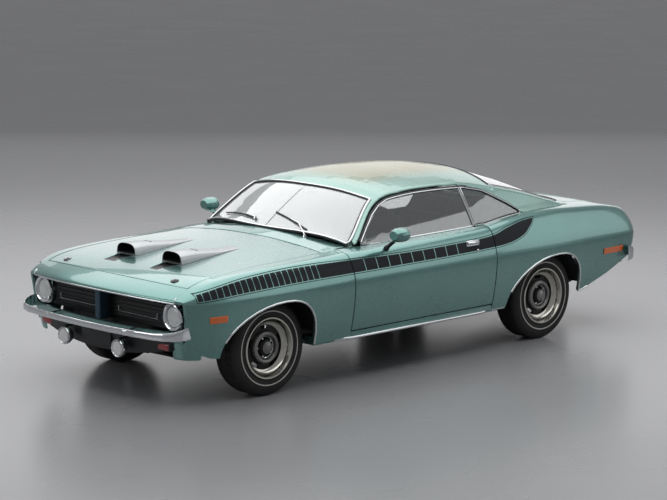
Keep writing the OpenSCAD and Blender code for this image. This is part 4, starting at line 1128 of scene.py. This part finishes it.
def build_cabin():
    build_dials()
    floor = above("floor_pan", 0.0, -0.15).z
    lever = rod([(0, -0.15, floor - 0.005), (0, -0.16, floor + 0.10), (0, -0.13, floor + 0.19)],
                0.007)
    knob = turned([(0.0, 0.024), (0.014, 0.020), (0.022, 0.006), (0.020, -0.008),
                   (0.008, -0.018), (0.0, -0.018)], (0, -0.13, floor + 0.20), steps=40)
    boot = turned([(0.055, 0.0), (0.052, 0.008), (0.030, 0.022), (0.018, 0.040), (0.008, 0.052),
                   (0.0, 0.052), (0.0, 0.0), (0.055, 0.0)], (0, -0.152, floor - 0.003), steps=40)
    made("shift_lever", [lever, knob], chrome)
    made("shift_boot", [boot], rubber)
    mirror = block((-0.11, -0.330, 1.150), (0.11, -0.312, 1.205), 0.008)
    screen_z = above("windshield", 0.0, -0.345).z
    stalk = rod([(0, -0.322, 1.195), (0, -0.330, screen_z - 0.012)], 0.006)
    made("cabin_mirror", [mirror, stalk], trim_black)


def build_dials():
    """The dashboard's panels, dials and knobs."""
    face = hit("dashboard", (0.37, 1, 0.80), AHEAD).y
    cluster = block((0.190, face - 0.004, 0.742), (0.560, face + 0.016, 0.838), 0.008)
    glove = block((-0.560, face - 0.004, 0.730), (-0.230, face + 0.008, 0.830), 0.006)
    radio = block((-0.120, face - 0.004, 0.750), (0.120, face + 0.010, 0.830), 0.006)
    vents = [block((x - 0.05, face - 0.004, 0.846), (x + 0.05, face + 0.006, 0.866), 0.003)
             for x in (-0.60, 0.60)]
    made("dashboard_panels", [cluster, glove, radio, *vents], trim_black)
    rims, dials, knobs = [], [], []
    for x, r in ((0.245, 0.028), (0.330, 0.036), (0.420, 0.036), (0.505, 0.028)):
        at = (x, face + 0.0155, 0.792)
        rims.append(turned([(r, 0.0), (r + 0.004, 0.0), (r + 0.004, 0.005), (r, 0.007),
                            (r, 0.0)], at, ASTERN, 48))
        dials.append(turned([(0.0, 0.003), (r, 0.002), (r, 0.0), (0.0, 0.0)], at, ASTERN, 48))
        knobs.append(rod([(x, at[1] + 0.004, 0.792),
                          (x - 0.7 * r, at[1] + 0.004, 0.792 + 0.5 * r)], 0.0012))
    for x in (-0.09, 0.09, -0.03, 0.03):
        knobs.append(turned([(0.0, 0.020), (0.008, 0.018), (0.009, 0.0), (0.0, 0.0)],
                            (x, face + 0.009, 0.768), ASTERN, 24))
    made("dial_rims", rims + knobs, chrome)
    made("dial_faces", dials, trim_black)


def build_engine_bay():
    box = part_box("engine")
    top, y = box[1].z, box[0].y + 0.31
    cleaner = turned([(0.0, 0.066), (0.012, 0.066), (0.020, 0.058), (0.165, 0.056),
                      (0.180, 0.050), (0.182, 0.012), (0.172, 0.004), (0.0, 0.004)],
                     (0, y, top + 0.020), steps=72)
    made("air_cleaner", [cleaner], wheel_black)
    neck = turned([(0.060, 0.024), (0.070, 0.0), (0.090, -0.004), (0.0, -0.004), (0.0, 0.024)],
                  (0, y, top), steps=40)
    nut = turned([(0.0, 0.026), (0.010, 0.024), (0.016, 0.008), (0.004, 0.0), (0.0, 0.0)],
                 (0, y, top + 0.082), steps=24)
    bright("air_cleaner_nut", [neck, nut])
    covers, leads = [], []
    half = box[1].x if box[1].x < 0.3 else 0.24
    for side in SIDES.values():
        x0, x1 = sorted((side * (half - 0.155), side * (half - 0.030)))
        covers.append(block((x0, y - 0.26, top - 0.010), (x1, y + 0.26, top + 0.042), 0.016, 4))
        for k in range(4):
            at = y - 0.19 + 0.125 * k
            leads.append(rod([(side * (half - 0.012), at, top - 0.10),
                              (side * (half + 0.006), at + 0.01, top - 0.02),
                              (side * (half - 0.02), at + 0.03, top + 0.030),
                              (side * 0.06, y + 0.25, top + 0.045)], 0.004))
    made("valve_covers", covers, bar_blue)
    made("spark_leads", leads, rubber)
    front = box[0].y - 0.115
    core = block((-0.30, front - 0.035, 0.40), (0.30, front + 0.005, 0.745), 0.006)
    tanks = block((-0.31, front - 0.042, 0.742), (0.31, front + 0.012, 0.792), 0.012)
    cap = turned([(0.0, 0.018), (0.020, 0.016), (0.024, 0.0), (0.0, 0.0)],
                 (0.2, front - 0.015, 0.790), steps=32)
    made("radiator", [core, tanks, cap], chassis)
    battery = block((0.36, front + 0.02, 0.60), (0.53, front + 0.26, 0.78), 0.008)
    posts = [turned([(0.0, 0.018), (0.008, 0.018), (0.010, 0.0), (0.0, 0.0)],
                    (x, front + 0.06, 0.780), steps=20) for x in (0.40, 0.49)]
    tray = block((0.35, front + 0.01, 0.585), (0.54, front + 0.27, 0.602), 0.003)
    dark("battery", [battery, *posts, tray])
    hose = rod([(0.10, front + 0.010, 0.765), (0.10, front + 0.07, 0.775),
                (0.07, box[0].y - 0.02, top - 0.01), (0.06, box[0].y + 0.03, top - 0.005)],
               0.020, 5)
    made("radiator_hose", [hose], rubber)


# ---------------------------------------------------------------- wheels
def build_wheels():
    rim, r, w, groove = 0.207, TYRE_R, TYRE_W / 2, 0.006
    tread = []
    for a, b in ((-0.62, -0.60), (-0.25, -0.23), (0.23, 0.25), (0.60, 0.62)):
        a, b = a * w, b * w
        tread += [(r, a - 0.001), (r - groove, a + 0.001), (r - groove, b - 0.001), (r, b + 0.001)]
    side = [(rim - 0.016, 0.80), (rim + 0.001, 0.86), (rim + 0.008, 0.94), (rim + 0.028, 0.985),
            (rim + 0.050, 1.0), (r - 0.060, 1.0), (r - 0.040, 0.985), (r - 0.034, 0.965),
            (r - 0.020, 0.905), (r - 0.014, 0.86), (r - 0.004, 0.76)]
    outline = [(a, -b * w) for a, b in side] + tread + [(a, b * w) for a, b in reversed(side)]

    def spun(profile, steps):
        return turned(profile, ORIGIN, ACROSS, steps)

    tyre = spun(outline + outline[:1], 120)
    tyre_treads(tyre, r, w)
    band = spun([(0.247, w + 0.0002), (0.248, w + 0.0022), (0.254, w + 0.0022),
                 (0.255, w + 0.0002), (0.247, w + 0.0002)], 96)
    ring = spun([(0.208, 0.096), (0.211, 0.100), (0.208, 0.1045), (0.199, 0.1035),
                 (0.193, 0.094), (0.188, 0.080), (0.178, 0.064), (0.165, 0.053),
                 (0.153, 0.0475), (0.153, 0.0445), (0.167, 0.049), (0.181, 0.061),
                 (0.190, 0.076), (0.197, 0.093), (0.208, 0.096)], 96)
    hub = spun([(0.112, 0.0455), (0.112, 0.058), (0.107, 0.071), (0.097, 0.078),
                (0.086, 0.075), (0.078, 0.064), (0.075, 0.050), (0.075, 0.0455),
                (0.112, 0.0455)], 72)
    lip = spun([(0.0735, 0.040), (0.0735, 0.056), (0.071, 0.058), (0.0685, 0.056),
                (0.0685, 0.040), (0.0735, 0.040)], 64)
    cap = spun([(0.0, 0.0965), (0.010, 0.0960), (0.012, 0.093), (0.024, 0.0915),
                (0.030, 0.0885), (0.032, 0.084), (0.040, 0.082), (0.042, 0.076), (0.0, 0.076)],
               64)
    nuts = []
    for k in range(5):
        a = 2 * math.pi * (k + 0.5) / 5
        nuts.append(turned([(0.0, 0.056), (0.005, 0.056), (0.008, 0.052), (0.009, 0.028),
                            (0.0, 0.028)], (0, 0.0625 * math.cos(a), 0.0625 * math.sin(a)),
                           ACROSS, 6))
    patterns = {"tyre_tread": (tyre, rubber, "tyre"), "white_ring": (band, white_rubber, "tyre"),
                "trim_ring": (ring, rim_metal, "wheel_steel"),
                "hub_ring": (hub, hub_grey, "wheel_steel"), "hub_lip": (lip, chrome, "chrome"),
                "hub_cap": (cap, hub_grey, "chrome"),
                "wheel_nuts": (joined("nuts", nuts), chrome, "chrome")}
    for wheel, centre in WHEELS.items():
        place = Matrix.Translation(centre) @ (Matrix.Identity(4) if centre.x > 0 else MIRROR)
        for name, (pattern, mat, slot) in patterns.items():
            stands_for = ("tyre_" + wheel[6:],) if name == "tyre_tread" else ()
            made(wheel[6:] + "_" + name, [clone(pattern, name, place)], mat, wheel,
                 stands_for)
        disc = skin(wheel, wheel + "_centre", wheel_black, bevel=0, levels=0,
                    angle=30)
        paint_faces(disc, rim_metal,
                    lambda c, n: math.hypot(c.y - centre.y, c.z - centre.z) > 0.190)
    for pattern, _, _ in patterns.values():
        bpy.data.objects.remove(pattern)


def tyre_treads(tyre, r, w):
    """Cuts notches across the shoulder ribs: every third step round the tread goes in."""
    none_selected(tyre, "FACE")
    for face in tyre.data.polygons:
        c = face.center
        radius = math.hypot(c.y, c.z)
        step = int(round(math.degrees(math.atan2(c.z, c.y)) / 3 + 200)) % 3
        face.select = radius > r - 0.003 and 0.27 * w < abs(c.x) < 0.74 * w and step == 0
    edit_mode("FACE")
    bpy.ops.mesh.inset(thickness=0.0015, use_individual=True)
    bpy.ops.mesh.extrude_region_shrink_fatten(TRANSFORM_OT_shrink_fatten={"value": -0.006})
    object_mode()


# ---------------------------------------------------------------- lamps
def build_lamps():
    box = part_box("headlights")
    r = 0.098
    x, y, z = box[1].x - r, box[1].y, (box[0].z + box[1].z) / 2
    bezels, lenses, bowls = [], [], []
    for side in SIDES.values():
        at = (side * x, y, z)
        bezels.append(turned([(0.071, 0.004), (0.072, 0.030), (0.076, 0.040), (0.083, 0.0435),
                              (0.090, 0.041), (0.096, 0.030), (r, 0.006), (0.071, 0.004)],
                             at, AHEAD, 72))
        lenses.append(turned([(0.0, 0.0385), (0.025, 0.0370), (0.050, 0.0325), (0.064, 0.0265),
                              (0.069, 0.022), (0.068, 0.018), (0.0, 0.018)], at, AHEAD, 72))
        bowls.append(turned([(0.073, 0.021), (0.071, 0.019), (0.055, 0.008), (0.0, 0.003),
                             (0.0, 0.001), (0.060, 0.005), (0.073, 0.016), (0.073, 0.021)],
                            at, AHEAD, 48))
    made("headlight_bezels", bezels, chrome, stands_for=("headlights",))
    made("headlight_lenses", lenses, lamp_glass)
    bright("headlight_bowls", bowls)
    skin("road_lamps", "road_lamp_shells", chrome, bevel=0, levels=0, angle=30)
    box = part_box("road_lamps")
    x, y, z = box[1].x - 0.060, box[0].y + 0.0035, (box[0].z + box[1].z) / 2
    glasses = [turned([(0.0, 0.006), (0.030, 0.004), (0.047, -0.001), (0.047, -0.004),
                       (0.0, -0.004)], (side * x, y, z), AHEAD, 48) for side in SIDES.values()]
    made("road_lamp_lenses", glasses, lamp_glass)
    markers = skin("marker_lamps", "marker_lenses", amber, bevel=0.004)
    longer, thicker = 1.27, 1.2
    for point in markers.data.vertices:
        x, y, z = point.co
        panel, middle = ("fenders", -1.995) if y < 0 else ("quarter_panels", 2.057)
        side = math.copysign(1, x)
        new_y = middle + (y - middle) * longer
        old, new = beside(panel, side, y, z), beside(panel, side, new_y, z)
        if old and new:
            point.co = (side * (abs(new.x) + (abs(x) - abs(old.x)) * thicker), new_y, z)
    skin("tail_lamps", "tail_lamp_lenses", red, bevel=0.003)


# ---------------------------------------------------------------- stage, light and camera
def build_stage():
    floor_mat, t, shader = material("studio_floor", rgb(146, 146, 148), roughness=0.25)
    t.put(t.math("MULTIPLY_ADD", t.noise(0.8), 0.06, 0.24), shader.inputs["Roughness"])
    floor = new_primitive(bpy.ops.mesh.primitive_plane_add, size=120, location=(0, 0, -0.0005))
    floor.name = "floor"
    floor.data.materials.append(floor_mat)
    world = bpy.data.worlds.new("studio")
    bpy.context.scene.world = world
    world.use_nodes = True
    t = Tree(world.node_tree)
    sky = world.node_tree.nodes["Background"]
    path = t.add("ShaderNodeLightPath").outputs
    seen = t.math("MAXIMUM", path["Is Camera Ray"], path["Is Transmission Ray"])
    seen = t.math("MAXIMUM", seen, path["Is Glossy Ray"])
    t.put(t.mix(seen, (0.22, 0.23, 0.24, 1), rgb(150, 150, 152)), sky.inputs["Color"])

    def softbox(name, place, aim, size, power):
        lamp = new_primitive(bpy.ops.object.light_add, type="AREA", location=place)
        lamp.name = name
        lamp.data.shape = "RECTANGLE"
        lamp.data.size, lamp.data.size_y = size
        lamp.data.energy = power
        lamp.rotation_euler = (Vector(aim) - Vector(place)).to_track_quat("-Z", "Y").to_euler()

    softbox("top_light", (-1.6, 0.0, 5.2), (-1.6, 0, 0), (11.0, 10.0), 540)
    softbox("front_light", (-3.0, -9.5, 4.5), (0, 0, 0.5), (5.0, 3.0), 120)
    softbox("side_light", (7.5, 8.0, 4.4), (0, 0, 0.6), (9.0, 5.0), 115)
    softbox("back_light", (-9.0, 8.5, 4.2), (0, 0, 0.7), (15.0, 5.0), 195)


def build_camera():
    """Three-quarter front view from the car's left."""
    tilt_down, heading = 0.16744, 0.81037
    bpy.ops.object.camera_add(location=(12.3473, -11.7843, 3.6039))
    camera = bpy.context.active_object
    camera.rotation_euler = (math.pi / 2 - tilt_down, 0, heading)
    camera.data.sensor_width = 36
    camera.data.lens = 127.9
    camera.data.clip_end = 300
    bpy.context.scene.camera = camera


build_camera()
build_stage()
build_body()
build_glass()
build_running_gear()
build_mouldings()
build_front_trim()
build_glass_trim()
build_handles()
build_rear_trim()
build_seats()
build_cabin()
build_engine_bay()
build_wheels()
build_lamps()
bpy.context.scene.view_settings.view_transform = "Standard"
